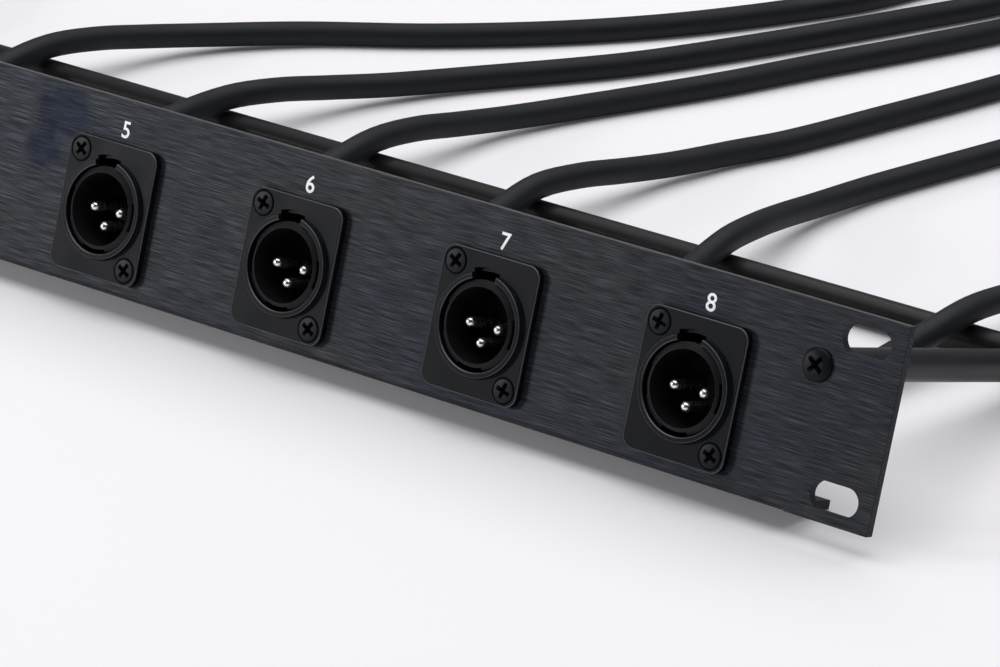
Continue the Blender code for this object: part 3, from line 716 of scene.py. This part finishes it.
def smooth_curve(points, step):
    """Points about one step apart on a smooth curve through the given points."""
    first = 2 * points[0] - points[1]
    last = 2 * points[-1] - points[-2]
    chain = [first, *points, last]
    result = []
    for before, start, end, after in zip(chain[:-3], chain[1:-2], chain[2:-1], chain[3:]):
        lead = math.sqrt((start - before).length)
        span = math.sqrt((end - start).length)
        trail = math.sqrt((after - end).length)
        leave = (end - start) + span * ((start - before) / lead - (end - before) / (lead + span))
        arrive = (end - start) + span * ((after - end) / trail - (after - start) / (span + trail))
        count = max(1, round((end - start).length / step))
        for index in range(count):
            t = index / count
            result.append(start * (2 * t ** 3 - 3 * t ** 2 + 1) + leave * (t ** 3 - 2 * t ** 2 + t)
                          + end * (3 * t ** 2 - 2 * t ** 3) + arrive * (t ** 3 - t ** 2))
    return result + [points[-1]]


def path_length(points):
    return sum((end - start).length for start, end in zip(points[:-1], points[1:]))


def route_of(index, tail):
    """Points of a tail's route from its boot over the bar to its coil."""
    exit_y = BOOT_END + GAP
    straight = STRAIGHT_DIAMETERS * CABLE_DIAMETER
    route = [to_world(socket_x(index), y, SOCKET_Z) for y in (exit_y, exit_y + straight)]
    route += [Vector((x, y, z)) * MM for x, (y, z) in zip(tail.over_bar, TAIL_RISE)]
    return route + [Vector((x * MM, y * MM, CABLE_REST)) for x, y in tail.table]


def coil_points(entry, heading, tail, radius, per_loop):
    """Two layers of loops: in on the table, up where they turn back, out again and down beside."""
    course = math.atan2(heading.y, heading.x)
    side = tail.turn
    total = tau * tail.loops
    middle = total / 2
    first_angle = course - side * pi / 2
    outer = radius + COIL_PITCH * tail.loops / 4
    start = entry + heading * CABLE_DIAMETER
    centre = Vector((start.x - outer * cos(first_angle), start.y - outer * sin(first_angle), 0))
    points = [entry.copy()]
    steps = round(per_loop * tail.loops)
    step_out_span = COIL_STEP_OUT_START - COIL_STEP_OUT_END
    for step in range(steps + 1):
        turn = total * step / steps
        left = total - turn
        reach = outer - COIL_PITCH * (middle - abs(middle - turn)) / tau
        reach += COIL_STEP_OUT * eased((COIL_STEP_OUT_START - left) / step_out_span)
        height = CABLE_REST + COIL_CLIMB * eased((turn - middle) / pi + 0.5)
        height += (PLUG_REST - CABLE_REST - COIL_CLIMB) * eased((COIL_DROP_START - left) / COIL_DROP_START)
        angle = first_angle + side * turn
        points.append(centre + Vector((reach * cos(angle), reach * sin(angle), height)))
    end_course = course + side * total
    end_heading = Vector((cos(end_course), sin(end_course), 0))
    points.append(points[-1] + end_heading * CABLE_DIAMETER)
    return points, end_heading, centre, first_angle + side * tau * tail.tie


def cable_path(index, tail):
    """Whole middle line of a tail, its heading at the plug, its coil's middle and its tie's angle."""
    route = route_of(index, tail)
    stretch = smooth_curve(route, ROUTE_STEP_DIAMETERS * CABLE_DIAMETER)
    heading = stretch[-1] - stretch[-2]
    heading.z = 0
    heading.normalize()
    entry = stretch[-1] + heading * GAP
    length = TAIL_LENGTH - path_length(stretch)
    radius = length / (tau * tail.loops)
    for _ in range(RADIUS_ROUNDS):
        points = coil_points(entry, heading, tail, radius, COIL_POINTS_PER_LOOP)[0]
        radius += (length - path_length(points)) / (tau * tail.loops)
    points, end_heading, centre, tie_angle = coil_points(entry, heading, tail, radius, DRAWN_POINTS_PER_LOOP)
    inside = to_world(socket_x(index), BOOT_END - INSIDE_BOOT, SOCKET_Z)
    whole = [inside] + smooth_curve(route, DRAWN_STEP)[:-1] + points
    return whole, end_heading, centre, tie_angle


def tube(name, points, radius, resolution, material):
    """Round cord along a run of close points, with closed ends."""
    curve = bpy.data.curves.new(name, "CURVE")
    curve.dimensions = "3D"
    curve.bevel_depth = radius
    curve.bevel_resolution = resolution
    curve.use_fill_caps = True
    spline = curve.splines.new("POLY")
    spline.points.add(len(points) - 1)
    for target, point in zip(spline.points, points):
        target.co = (*point, 1)
    curve.materials.append(material)
    return placed(name, curve)


def crossings(points, centre, out, along):
    """Distance out and height of each pass of a coil on one side of its middle."""
    found = []
    for start, end in zip(points[:-1], points[1:]):
        before = (start - centre).dot(along)
        after = (end - centre).dot(along)
        if before * after <= 0 and before != after and (start - centre).dot(out) > 0:
            place = start.lerp(end, before / (before - after)) - centre
            found.append(Vector((place.dot(out), place.z)))
    return found


def tie_mesh(points, centre, angle):
    """Strap closed round the passes of a coil at one angle about its middle."""
    out = Vector((cos(angle), sin(angle), 0))
    along = Vector((-sin(angle), cos(angle), 0))
    passes = crossings(points, centre, out, along)
    inner = CABLE_RADIUS + TIE_SLACK
    outer = inner + TIE_THICKNESS
    edge = outer - TIE_EDGE_DEPTH * TIE_THICKNESS
    section = ((inner, -0.5), (inner, 0.5), (edge, 0.5), (outer, TIE_CREST), (outer, -TIE_CREST),
               (edge, -0.5))
    bm = bmesh.new()
    rings = []
    for step in range(LARGE_SIDES):
        turn = tau * step / LARGE_SIDES
        facing = Vector((cos(turn), sin(turn)))
        farthest = max(passes, key=facing.dot)
        ring = []
        for reach, across in section:
            place = farthest + facing * reach
            height = max(place.y, TABLE_CLEARANCE * (outer - reach) / TIE_THICKNESS + TABLE_CLEARANCE)
            spot = centre + out * place.x + along * across * TIE_WIDTH
            ring.append(bm.verts.new((spot.x, spot.y, height)))
        rings.append(ring)
    join_rings(bm, rings + rings[:1])
    return finished_mesh("tie", bm)


def plug_meshes():
    """Jack plug's boot, handle, metal contacts and insulating rings, along +Y from the cable end."""
    boot_end = PLUG_BOOT_LENGTH
    handle_end = boot_end + PLUG_HANDLE_LENGTH
    boot = [(PLUG_BOOT_RADIUS, 0)]
    for rib in range(PLUG_RIB_COUNT):
        along = PLUG_RIB_START + rib * PLUG_RIB_STEP
        radius = PLUG_BOOT_RADIUS + (PLUG_BOOT_END_RADIUS - PLUG_BOOT_RADIUS) * along / boot_end
        boot += [(radius - share * PLUG_RIB_DEPTH, along + past * MM) for share, past in PLUG_RIB_SHAPE]
    boot.append((PLUG_BOOT_END_RADIUS, boot_end))
    handle = [(PLUG_HANDLE_RADIUS - inset * MM, boot_end + past * MM) for inset, past in PLUG_HANDLE_SHAPE]
    handle += [(PLUG_HANDLE_RADIUS, handle_end - PLUG_HANDLE_CHAMFER),
               (PLUG_HANDLE_RADIUS - PLUG_HANDLE_CHAMFER, handle_end)]
    neck = PLUG_LENGTH - PLUG_TIP_LENGTH
    first_ring = neck - PLUG_RING_WIDTH
    second_ring = first_ring - PLUG_BAND - PLUG_RING_WIDTH
    shaft = PLUG_SHAFT_RADIUS
    metal = [turned([(shaft, start), (shaft, end)], SCREW_SIDES, edge=PLUG_SHAFT_EDGE)
             for start, end in ((handle_end, second_ring), (second_ring + PLUG_RING_WIDTH, first_ring))]
    tip = [(radius * MM, neck + past * MM) for radius, past in PLUG_TIP_SHAPE]
    metal.append(turned(tip, SCREW_SIDES, edge=PLUG_TIP_EDGE))
    sunk = shaft - PLUG_RING_DEPTH
    rings = [turned([(sunk, start), (sunk, start + PLUG_RING_WIDTH)], SCREW_SIDES)
             for start in (first_ring, second_ring)]
    return (turned(boot, SCREW_SIDES, edge=PLUG_BOOT_EDGE),
            turned(handle, HANDLE_SIDES, edge=PLUG_HANDLE_EDGE), gathered(metal), gathered(rings))


def build_cables():
    boot, handle, metal, rings = plug_meshes()
    for index, tail in enumerate(TAILS):
        number = index + 1
        points, heading, centre, tie_angle = cable_path(index, tail)
        cable = tube(f"cable_{number}", points, CABLE_RADIUS, CABLE_RESOLUTION, JACKET)
        settled(cable, [f"tail_{number}", f"coil_{number}"])
        place = Matrix.Translation(points[-1]) @ Matrix.Rotation(math.atan2(-heading.x, heading.y), 4, "Z")
        on_cable = [
            show(f"jack_boot_{number}", boot, SHRINK, place),
            show(f"jack_handle_{number}", handle, HANDLE, place, [f"plug_{number}"]),
            show(f"jack_contacts_{number}", metal, CONTACT, place),
            show(f"jack_rings_{number}", rings, MOULDED, place),
            show(f"tie_{number}", tie_mesh(points, centre, tie_angle), STRAP, Matrix.Identity(4)),
        ]


# Panel and bar

# Share of a cut's edge at the middle of its rounding
FLARE_MIDDLE = 0.3


def edge_levels(edge, thickness):
    """Inset and y of each level of a plate whose front and rear edges are rounded."""
    front = edge_arc(edge, 3)
    return front + [(inset, thickness - y) for inset, y in reversed(front)]


def flare_levels():
    """Y and extra radius along a cutter that passes through the panel and rounds both rims."""
    middle = FLARE_MIDDLE * PANEL_EDGE
    front = [(-PANEL_THICKNESS, PANEL_EDGE), (0, PANEL_EDGE), (middle, middle), (PANEL_EDGE, 0)]
    return front + [(PANEL_THICKNESS - y, extra) for y, extra in reversed(front)]


def hole_cutter(radius, segments, centre):
    """Round cutter through the panel that rounds both rims of its hole."""
    return turned([(radius + extra, y) for y, extra in flare_levels()], segments, centre)


def slot_outline(centre, extra):
    """Slot with half-round ends, widened all round by a little extra, as (x, z) points."""
    radius = RACK_SLOT_HEIGHT / 2
    straight = RACK_SLOT_LENGTH / 2 - radius
    points = []
    for side, start in ((1, -0.5), (-1, 0.5)):
        for step in range(ARC_STEPS + 1):
            angle = pi * (start + step / ARC_STEPS)
            points.append((centre[0] + side * straight + (radius + extra) * cos(angle),
                           centre[1] + (radius + extra) * sin(angle)))
    return points


# Faces of a rounded edge: share of their normal that points along Y
RIM_LEVEL = 0.05
RIM_TURN = 0.97


def panel_mesh():
    """Plate with its lower edge folded to the rear, with its holes and rack slots."""
    half = PANEL_HEIGHT / 2
    outer = FOLD_OUTER_RADIUS
    plate = stacked([(y, rounded_outline(PANEL_WIDTH, PANEL_HEIGHT, PANEL_CORNER_RADIUS, EDGE_STEPS, inset))
                     for inset, y in edge_levels(PANEL_EDGE, PANEL_THICKNESS)])
    middle = PANEL_THICKNESS / 2
    lip = lengthwise(softened([(middle, -half), (FOLD_DEPTH, -half), (FOLD_DEPTH, PANEL_THICKNESS - half),
                               (middle, PANEL_THICKNESS - half)], PANEL_EDGE), FOLD_WIDTH)
    bend = [(back, rise - half) for back, rise in edge_arc(outer, BEND_STEPS)]
    corner = lengthwise([(-outer, -half - outer), (outer, -half - outer)] + bend + [(-outer, outer - half)],
                        FOLD_WIDTH)
    body = combined(combined(plate, [lip], "UNION"), [corner], "DIFFERENCE")
    holes = []
    for index in range(SOCKET_COUNT):
        x = socket_x(index)
        holes.append(hole_cutter(BARREL_RADIUS + GAP, LARGE_SIDES, (x, SOCKET_Z)))
        for dx, dz in FLANGE_SCREW_PLACES:
            holes.append(hole_cutter(FLANGE_SCREW_SHANK_RADIUS + GAP, SMALL_SIDES, (x + dx, SOCKET_Z + dz)))
    for side in (-1, 1):
        place = (side * BAR_ARM_SPACING / 2, BAR_Z)
        holes.append(hole_cutter(BAR_SCREW_SHANK_RADIUS + GAP, SMALL_SIDES, place))
        for level in (-1, 1):
            place = (side * RACK_SLOT_SPACING_X / 2, level * RACK_SLOT_SPACING_Z / 2)
            holes.append(stacked([(y, slot_outline(place, extra)) for y, extra in flare_levels()]))
    return combined(body, holes, "DIFFERENCE")


def on_panel_rim_highlight(centre, normal):
    """True on the upper edge of the plate, whose lighter bare-metal colour paints a highlight line there."""
    return centre.z > PANEL_HEIGHT / 2 - PANEL_EDGE and abs(normal.y) < RIM_TURN


def bar_points():
    """Middle line of the bar: arm, bend, run, bend and arm, in the panel's frame."""
    arm_x = BAR_ARM_SPACING / 2
    half = [(arm_x, PANEL_THICKNESS, BAR_Z)]
    half += [(arm_x - inset, BAR_REACH - back, BAR_Z)
             for back, inset in edge_arc(BAR_BEND_RADIUS, ARC_STEPS)]
    return half + [(-x, y, z) for x, y, z in reversed(half)]


def recessed_screw(outline, edge, sides, cross):
    """Screw turned from its outline, with a cross recess that narrows towards its foot."""
    front = outline[0][1]
    reach, width, depth = cross
    mouth = cross_outline(reach, width)
    foot = cross_outline(reach * CROSS_FOOT_SHARE, width * CROSS_FOOT_SHARE)
    cutter = stacked([(front - CROSS_ABOVE, mouth), (front, mouth), (front + depth, foot)])
    return combined(turned(outline, sides, edge=edge), [cutter], "DIFFERENCE")


def bar_screw_mesh():
    """Pan head screw."""
    front = -BAR_SCREW_HEAD_HEIGHT
    outline = [(BAR_SCREW_HEAD_RADIUS * share, front + drop) for share, drop in BAR_SCREW_FRONT]
    outline += [(BAR_SCREW_HEAD_RADIUS, 0), (BAR_SCREW_SHANK_RADIUS, 0),
                (BAR_SCREW_SHANK_RADIUS, BAR_SCREW_END)]
    return recessed_screw(outline, BAR_SCREW_EDGE, BAR_SCREW_SIDES, BAR_SCREW_CROSS)


def flange_screw_mesh():
    """Countersunk screw, its head nearly flush with the flange."""
    front = FLANGE_FRONT - FLANGE_SCREW_CROWN
    shank = FLANGE_SCREW_SHANK_RADIUS
    outline = [(FLANGE_SCREW_HEAD_RADIUS * share, front + drop) for share, drop in FLANGE_SCREW_FRONT]
    outline += [(FLANGE_SCREW_HEAD_RADIUS, FLANGE_FRONT), (shank, FLANGE_FRONT + FLANGE_SCREW_HEAD_HEIGHT),
                (shank, FLANGE_SCREW_END)]
    return recessed_screw(outline, FLANGE_SCREW_EDGE, SCREW_SIDES, FLANGE_SCREW_CROSS)


def build_panel():
    show("panel_plate", panel_mesh(), ANODISED, PANEL_PLACE, ["panel"], PANEL_RIM_HIGHLIGHT,
         on_panel_rim_highlight)
    points = [PANEL_PLACE @ Vector(point) for point in bar_points()]
    settled(tube("bar_rod", points, BAR_RADIUS, BAR_RESOLUTION, PAINTED), ["lacing_bar"])
    screw = bar_screw_mesh()
    for side, word, turn in BAR_SCREWS:
        place = PANEL_PLACE @ Matrix.Translation((side * BAR_ARM_SPACING / 2, 0, BAR_Z))
        place = place @ Matrix.Rotation(radians(turn), 4, "Y")
        show(f"bar_bolt_{word}", screw, SCREW_STEEL, place, [f"bar_screw_{word}"])


# Sockets

def on_casting_rim_highlight(centre, normal):
    """True on the rounded front edges of the flange and of the collar's lip, which take the lighter rim
    colour: painted highlight lines, partly thinner paint on the edges.
    """
    x, y, z = abs(centre.x), centre.y, abs(centre.z)
    away = math.hypot(x, z)
    beside = x - FLANGE_WIDTH / 2
    above = z - FLANGE_HEIGHT / 2
    on_flange = (FLANGE_FRONT < y < FLANGE_FRONT + FLANGE_EDGE and away > WINDOW_REACH
                 and (beside > -FLANGE_CORNER_RADIUS and above > -FLANGE_CORNER_RADIUS
                      or beside > -FLANGE_EDGE or above > -FLANGE_EDGE))
    on_lip = y < COLLAR_FRONT + LIP_EDGE and (away > COLLAR_LIP_RADIUS - LIP_EDGE
                                              or away < SHELL_BORE_RADIUS + BORE_FLARE)
    return RIM_LEVEL < abs(normal.y) < RIM_TURN and (on_flange or on_lip)


def ring_sector(inner, outer, middle, half_turn):
    """Part of a flat ring between two radii, as (x, z) points."""
    angles = [middle - half_turn + 2 * half_turn * step / CORNER_STEPS for step in range(CORNER_STEPS + 1)]
    arc = [(outer * cos(angle), outer * sin(angle)) for angle in angles]
    return arc + [(inner * cos(angle), inner * sin(angle)) for angle in reversed(angles)]


def shell_mesh():
    """Flange, collar and rear barrel in one casting, bored for the insert."""
    levels = [(0, 0)]
    levels += [(FLANGE_FRONT + back, inset) for back, inset in edge_arc(FLANGE_EDGE, EDGE_STEPS)]
    size = (FLANGE_WIDTH, FLANGE_HEIGHT, FLANGE_CORNER_RADIUS, CORNER_STEPS)
    flange = stacked([(y, rounded_outline(*size, inset)) for y, inset in levels])
    foot = FLANGE_FRONT - COLLAR_FOOT
    middle = FLANGE_FRONT / 2
    collar = softened([(0, COLLAR_FRONT), (COLLAR_LIP_RADIUS, COLLAR_FRONT),
                       (COLLAR_BASE_RADIUS - COLLAR_FOOT, foot), (COLLAR_BASE_RADIUS, foot),
                       (COLLAR_BASE_RADIUS, middle)], LIP_EDGE)
    rear = softened([(BARREL_RADIUS, middle), (BARREL_RADIUS, BARREL_END), (0, BARREL_END)], BARREL_EDGE)
    body = combined(flange, [turned(collar + rear, SOCKET_SIDES)], "UNION")
    past = PANEL_THICKNESS
    flared = SHELL_BORE_RADIUS + BORE_FLARE
    bore = turned([(flared, COLLAR_FRONT - past), (flared, COLLAR_FRONT),
                   (SHELL_BORE_RADIUS, COLLAR_FRONT + BORE_FLARE), (SHELL_BORE_RADIUS, BARREL_END + past)],
                  SOCKET_SIDES)
    half_turn = math.asin(WINDOW_WIDTH / 2 / WINDOW_REACH)
    window = ring_sector(CAVITY_RADIUS, WINDOW_REACH, WINDOW_MIDDLE, half_turn)
    notch = stacked([(COLLAR_FRONT - past, window), (FLANGE_FRONT + WINDOW_DEPTH, window)])
    pocket = ring_sector(CAVITY_RADIUS, BARREL_RADIUS - BARREL_WALL, WINDOW_MIDDLE, half_turn)
    deep = stacked([(COLLAR_FRONT - past, pocket), (POCKET_END, pocket)])
    for cutter in (bore, notch, deep):
        body = combined(body, [cutter], "DIFFERENCE")
    sink = FLANGE_SCREW_HEAD_RADIUS + GAP
    hole = FLANGE_SCREW_SHANK_RADIUS + GAP
    sunk = [(sink, FLANGE_FRONT - past), (sink, FLANGE_FRONT),
            (hole, FLANGE_FRONT + FLANGE_SCREW_HEAD_HEIGHT), (hole, past)]
    sinks = [turned(sunk, SCREW_SIDES, place) for place in FLANGE_SCREW_PLACES]
    return combined(body, sinks, "DIFFERENCE")


def sleeve_mesh():
    """Sleeve and floor of the insert, with a seat round each contact."""
    inner = FLANGE_FRONT - SLEEVE_INNER_RISE
    outer = FLANGE_FRONT - SLEEVE_OUTER_RISE
    outline = [(CAVITY_RADIUS, CAVITY_FLOOR), (CAVITY_RADIUS, inner), (INSERT_RADIUS, outer),
               (INSERT_RADIUS, BARREL_END)]
    seat = [(PIN_SEAT_RADIUS, CAVITY_FLOOR - PIN_SEAT_HEIGHT), (PIN_SEAT_RADIUS, CAVITY_FLOOR + PIN_ROOT)]
    seats = [turned(seat, SMALL_SIDES, place, SLEEVE_EDGE) for place in PIN_PLACES]
    body = combined(turned(outline, SOCKET_SIDES, edge=SLEEVE_EDGE), seats, "UNION")
    recesses = []
    for angle in RECESS_ANGLES:
        recess = ring_sector(INSERT_RADIUS - RECESS_DEPTH, INSERT_RADIUS + RECESS_DEPTH, radians(angle),
                             RECESS_HALF_TURN)
        recesses.append(stacked([(FLANGE_FRONT - PANEL_THICKNESS, recess), (RECESS_END, recess)]))
    return combined(body, recesses, "DIFFERENCE")


def contact_mesh(place):
    """Contact with a domed tip."""
    dome = [(PIN_RADIUS - inset, PIN_TIP + back) for inset, back in edge_arc(PIN_RADIUS, DOME_STEPS)]
    return turned(dome + [(PIN_RADIUS, CAVITY_FLOOR + PIN_ROOT)], PIN_SIDES, place)


def boot_mesh():
    """Boot shrunk over the cable and the rear of the insert."""
    shoulder = BARREL_END + BOOT_SHOULDER_LENGTH
    outline = [(BOOT_SHOULDER_RADIUS, BARREL_END)]
    for step in range(BEND_STEPS + 1):
        share = step / BEND_STEPS
        radius = BOOT_SHOULDER_RADIUS + (BOOT_END_RADIUS - BOOT_SHOULDER_RADIUS) * eased(share)
        outline.append((radius, shoulder + BOOT_TAPER_LENGTH * share))
    mouth = CABLE_RADIUS - TABLE_CLEARANCE
    outline += [(BOOT_END_RADIUS, BOOT_END), (mouth, BOOT_END), (mouth, BOOT_END - BOOT_MOUTH_DEPTH)]
    return turned(outline, LARGE_SIDES, edge=BOOT_EDGE)


def build_sockets():
    shell = shell_mesh()
    sleeve = sleeve_mesh()
    boot = boot_mesh()
    screw = flange_screw_mesh()
    contacts = [contact_mesh(place) for place in PIN_PLACES]
    for index in range(SOCKET_COUNT):
        number = index + 1
        place = PANEL_PLACE @ Matrix.Translation((socket_x(index), 0, SOCKET_Z))
        show(f"casting_{number}", shell, CAST, place, [f"shell_{number}"], CAST_RIM_HIGHLIGHT,
             on_casting_rim_highlight)
        show(f"sleeve_{number}", sleeve, MOULDED, place, [f"insert_{number}"])
        show(f"boot_{number}", boot, SHRINK, place)
        for contact_number, contact in enumerate(contacts, 1):
            show(f"contact_{number}_{contact_number}", contact, CONTACT, place)
        for word, (dx, dz), turn in zip(("upper", "lower"), FLANGE_SCREW_PLACES, SCREW_TURNS[index]):
            at_screw = place @ Matrix.Translation((dx, 0, dz)) @ Matrix.Rotation(radians(turn), 4, "Y")
            show(f"flange_bolt_{number}_{word}", screw, SCREW_STEEL, at_screw,
                 [f"flange_screw_{number}_{word}"])


# Numbers

NUMBER_HEIGHT = 3.95 * MM
NUMBER_Z = 15.35 * MM
NUMBER_OFFSET_X = 1 * MM
NUMBER_FONT_RATIO = 0.729
NUMBER_BOLD = 0.06 * MM
INK_THICKNESS = 0.02 * MM


def build_numbers():
    upright = Matrix.Rotation(pi / 2, 4, "X")
    for index in range(SOCKET_COUNT):
        text = bpy.data.curves.new(f"number_{index + 1}", "FONT")
        text.body = str(index + 1)
        text.size = NUMBER_HEIGHT / NUMBER_FONT_RATIO
        text.align_x = "CENTER"
        text.extrude = INK_THICKNESS / 2
        text.offset = NUMBER_BOLD
        text.materials.append(INK)
        number = placed(f"number_{index + 1}", text)
        foot = (socket_x(index) + NUMBER_OFFSET_X, -INK_THICKNESS / 2, NUMBER_Z - NUMBER_HEIGHT / 2)
        number.matrix_world = PANEL_PLACE @ Matrix.Translation(foot) @ upright
        settled(number)


# Stage, lamps and camera

FLOOR_REACH = 6
FLOOR_COLOUR = (0.90, 0.885, 0.915)
FLOOR_GLOW = (1, 0.985, 1)
FLOOR_OWN_LIGHT = 0.04
BACKGROUND_COLOUR = (0.95, 0.94, 0.96)
WORLD_COLOUR = (0.92, 0.93, 0.97)
WORLD_STRENGTH = 0.28
DARK_SIDE_COLOUR = (0.05, 0.05, 0.055)
DARK_SIDE_EDGE = radians(58)
DARK_SIDE_CORE = radians(36)

# Lamps: name, place, size and power
LAMPS = (("overhead", (0.1, 0.3, 1.6), 2.4, 34), ("side", (-1.05, -1.1, 0.42), 0.4, 11.5))
LAMP_TARGET = (0.1, 0, 0)


def seen_directly(tree):
    """1 for camera, mirror and see-through rays, else 0."""
    rays = add_node(tree, "LightPath").outputs
    first = calculated(tree, "MAXIMUM", rays["Is Camera Ray"], rays["Is Glossy Ray"])
    return calculated(tree, "MAXIMUM", first, rays["Is Transmission Ray"])


def build_floor():
    """Pale table that keeps the object's shadow."""
    mesh = bpy.data.meshes.new("floor")
    corners = [(x * FLOOR_REACH, y * FLOOR_REACH, 0) for x, y in ((-1, -1), (1, -1), (1, 1), (-1, 1))]
    mesh.from_pydata(corners, [], [(0, 1, 2, 3)])
    floor = placed("floor", mesh)
    material = bpy.data.materials.new("floor_pale")
    material.use_nodes = True
    tree = material.node_tree
    tree.nodes.clear()
    plain = output_of(tree, "BsdfDiffuse", "BSDF", {"Color": (*FLOOR_COLOUR, 1)})
    glow = output_of(tree, "Emission", "Emission", {"Color": (*FLOOR_GLOW, 1), "Strength": 1})
    share = calculated(tree, "MULTIPLY", seen_directly(tree), FLOOR_OWN_LIGHT)
    mixed = output_of(tree, "MixShader", "Shader", {0: share, 1: plain, 2: glow})
    add_node(tree, "OutputMaterial", {"Surface": mixed})
    mesh.materials.append(material)


def camera_direction():
    """Direction in which the camera looks."""
    level = cos(CAMERA_ELEVATION)
    return Vector((-sin(CAMERA_AZIMUTH) * level, cos(CAMERA_AZIMUTH) * level, -sin(CAMERA_ELEVATION)))


def build_world():
    """Pale room with one dark side round the camera, and white where the camera sees past the floor."""
    world = bpy.data.worlds.new("studio")
    bpy.context.scene.world = world
    world.use_nodes = True
    tree = world.node_tree
    tree.nodes.clear()
    direction = output_of(tree, "TexCoord", "Generated")
    towards = output_of(tree, "VectorMath", "Value", {0: direction, 1: -camera_direction()},
                        operation="DOT_PRODUCT")
    dark = spread(tree, towards, 0, 1, cos(DARK_SIDE_EDGE), cos(DARK_SIDE_CORE))
    colour = output_of(tree, "MixRGB", "Color", {"Fac": dark, "Color1": (*WORLD_COLOUR, 1),
                                                 "Color2": (*DARK_SIDE_COLOUR, 1)})
    room = output_of(tree, "Background", "Background", {"Color": colour, "Strength": WORLD_STRENGTH})
    white = output_of(tree, "Background", "Background", {"Color": (*BACKGROUND_COLOUR, 1), "Strength": 1})
    camera_ray = output_of(tree, "LightPath", "Is Camera Ray")
    mixed = output_of(tree, "MixShader", "Shader", {0: camera_ray, 1: room, 2: white})
    add_node(tree, "OutputWorld", {"Surface": mixed})



def build_lamps():
    """Soft square lamps that face the object."""
    for name, place, size, power in LAMPS:
        light = bpy.data.lights.new(name, "AREA")
        light.size = size
        light.energy = power
        lamp = placed(name, light)
        lamp.location = place
        lamp.rotation_mode = "QUATERNION"
        lamp.rotation_quaternion = (Vector(LAMP_TARGET) - Vector(place)).to_track_quat("-Z", "Y")


def build_camera():
    data = bpy.data.cameras.new("camera")
    data.lens = LENS
    data.sensor_width = SENSOR_WIDTH
    data.clip_start = CLIP_START
    data.clip_end = CLIP_END
    camera = placed("camera", data)
    camera.location = CAMERA_PLACE
    camera.rotation_mode = "QUATERNION"
    level = camera_direction().to_track_quat("-Z", "Y")
    camera.rotation_quaternion = level @ Quaternion((0, 0, 1), CAMERA_ROLL)
    bpy.context.scene.camera = camera


build_camera()
build_world()
build_lamps()
build_floor()
build_cables()
build_panel()
build_sockets()
build_numbers()
bpy.context.scene.view_settings.view_transform = "Standard"
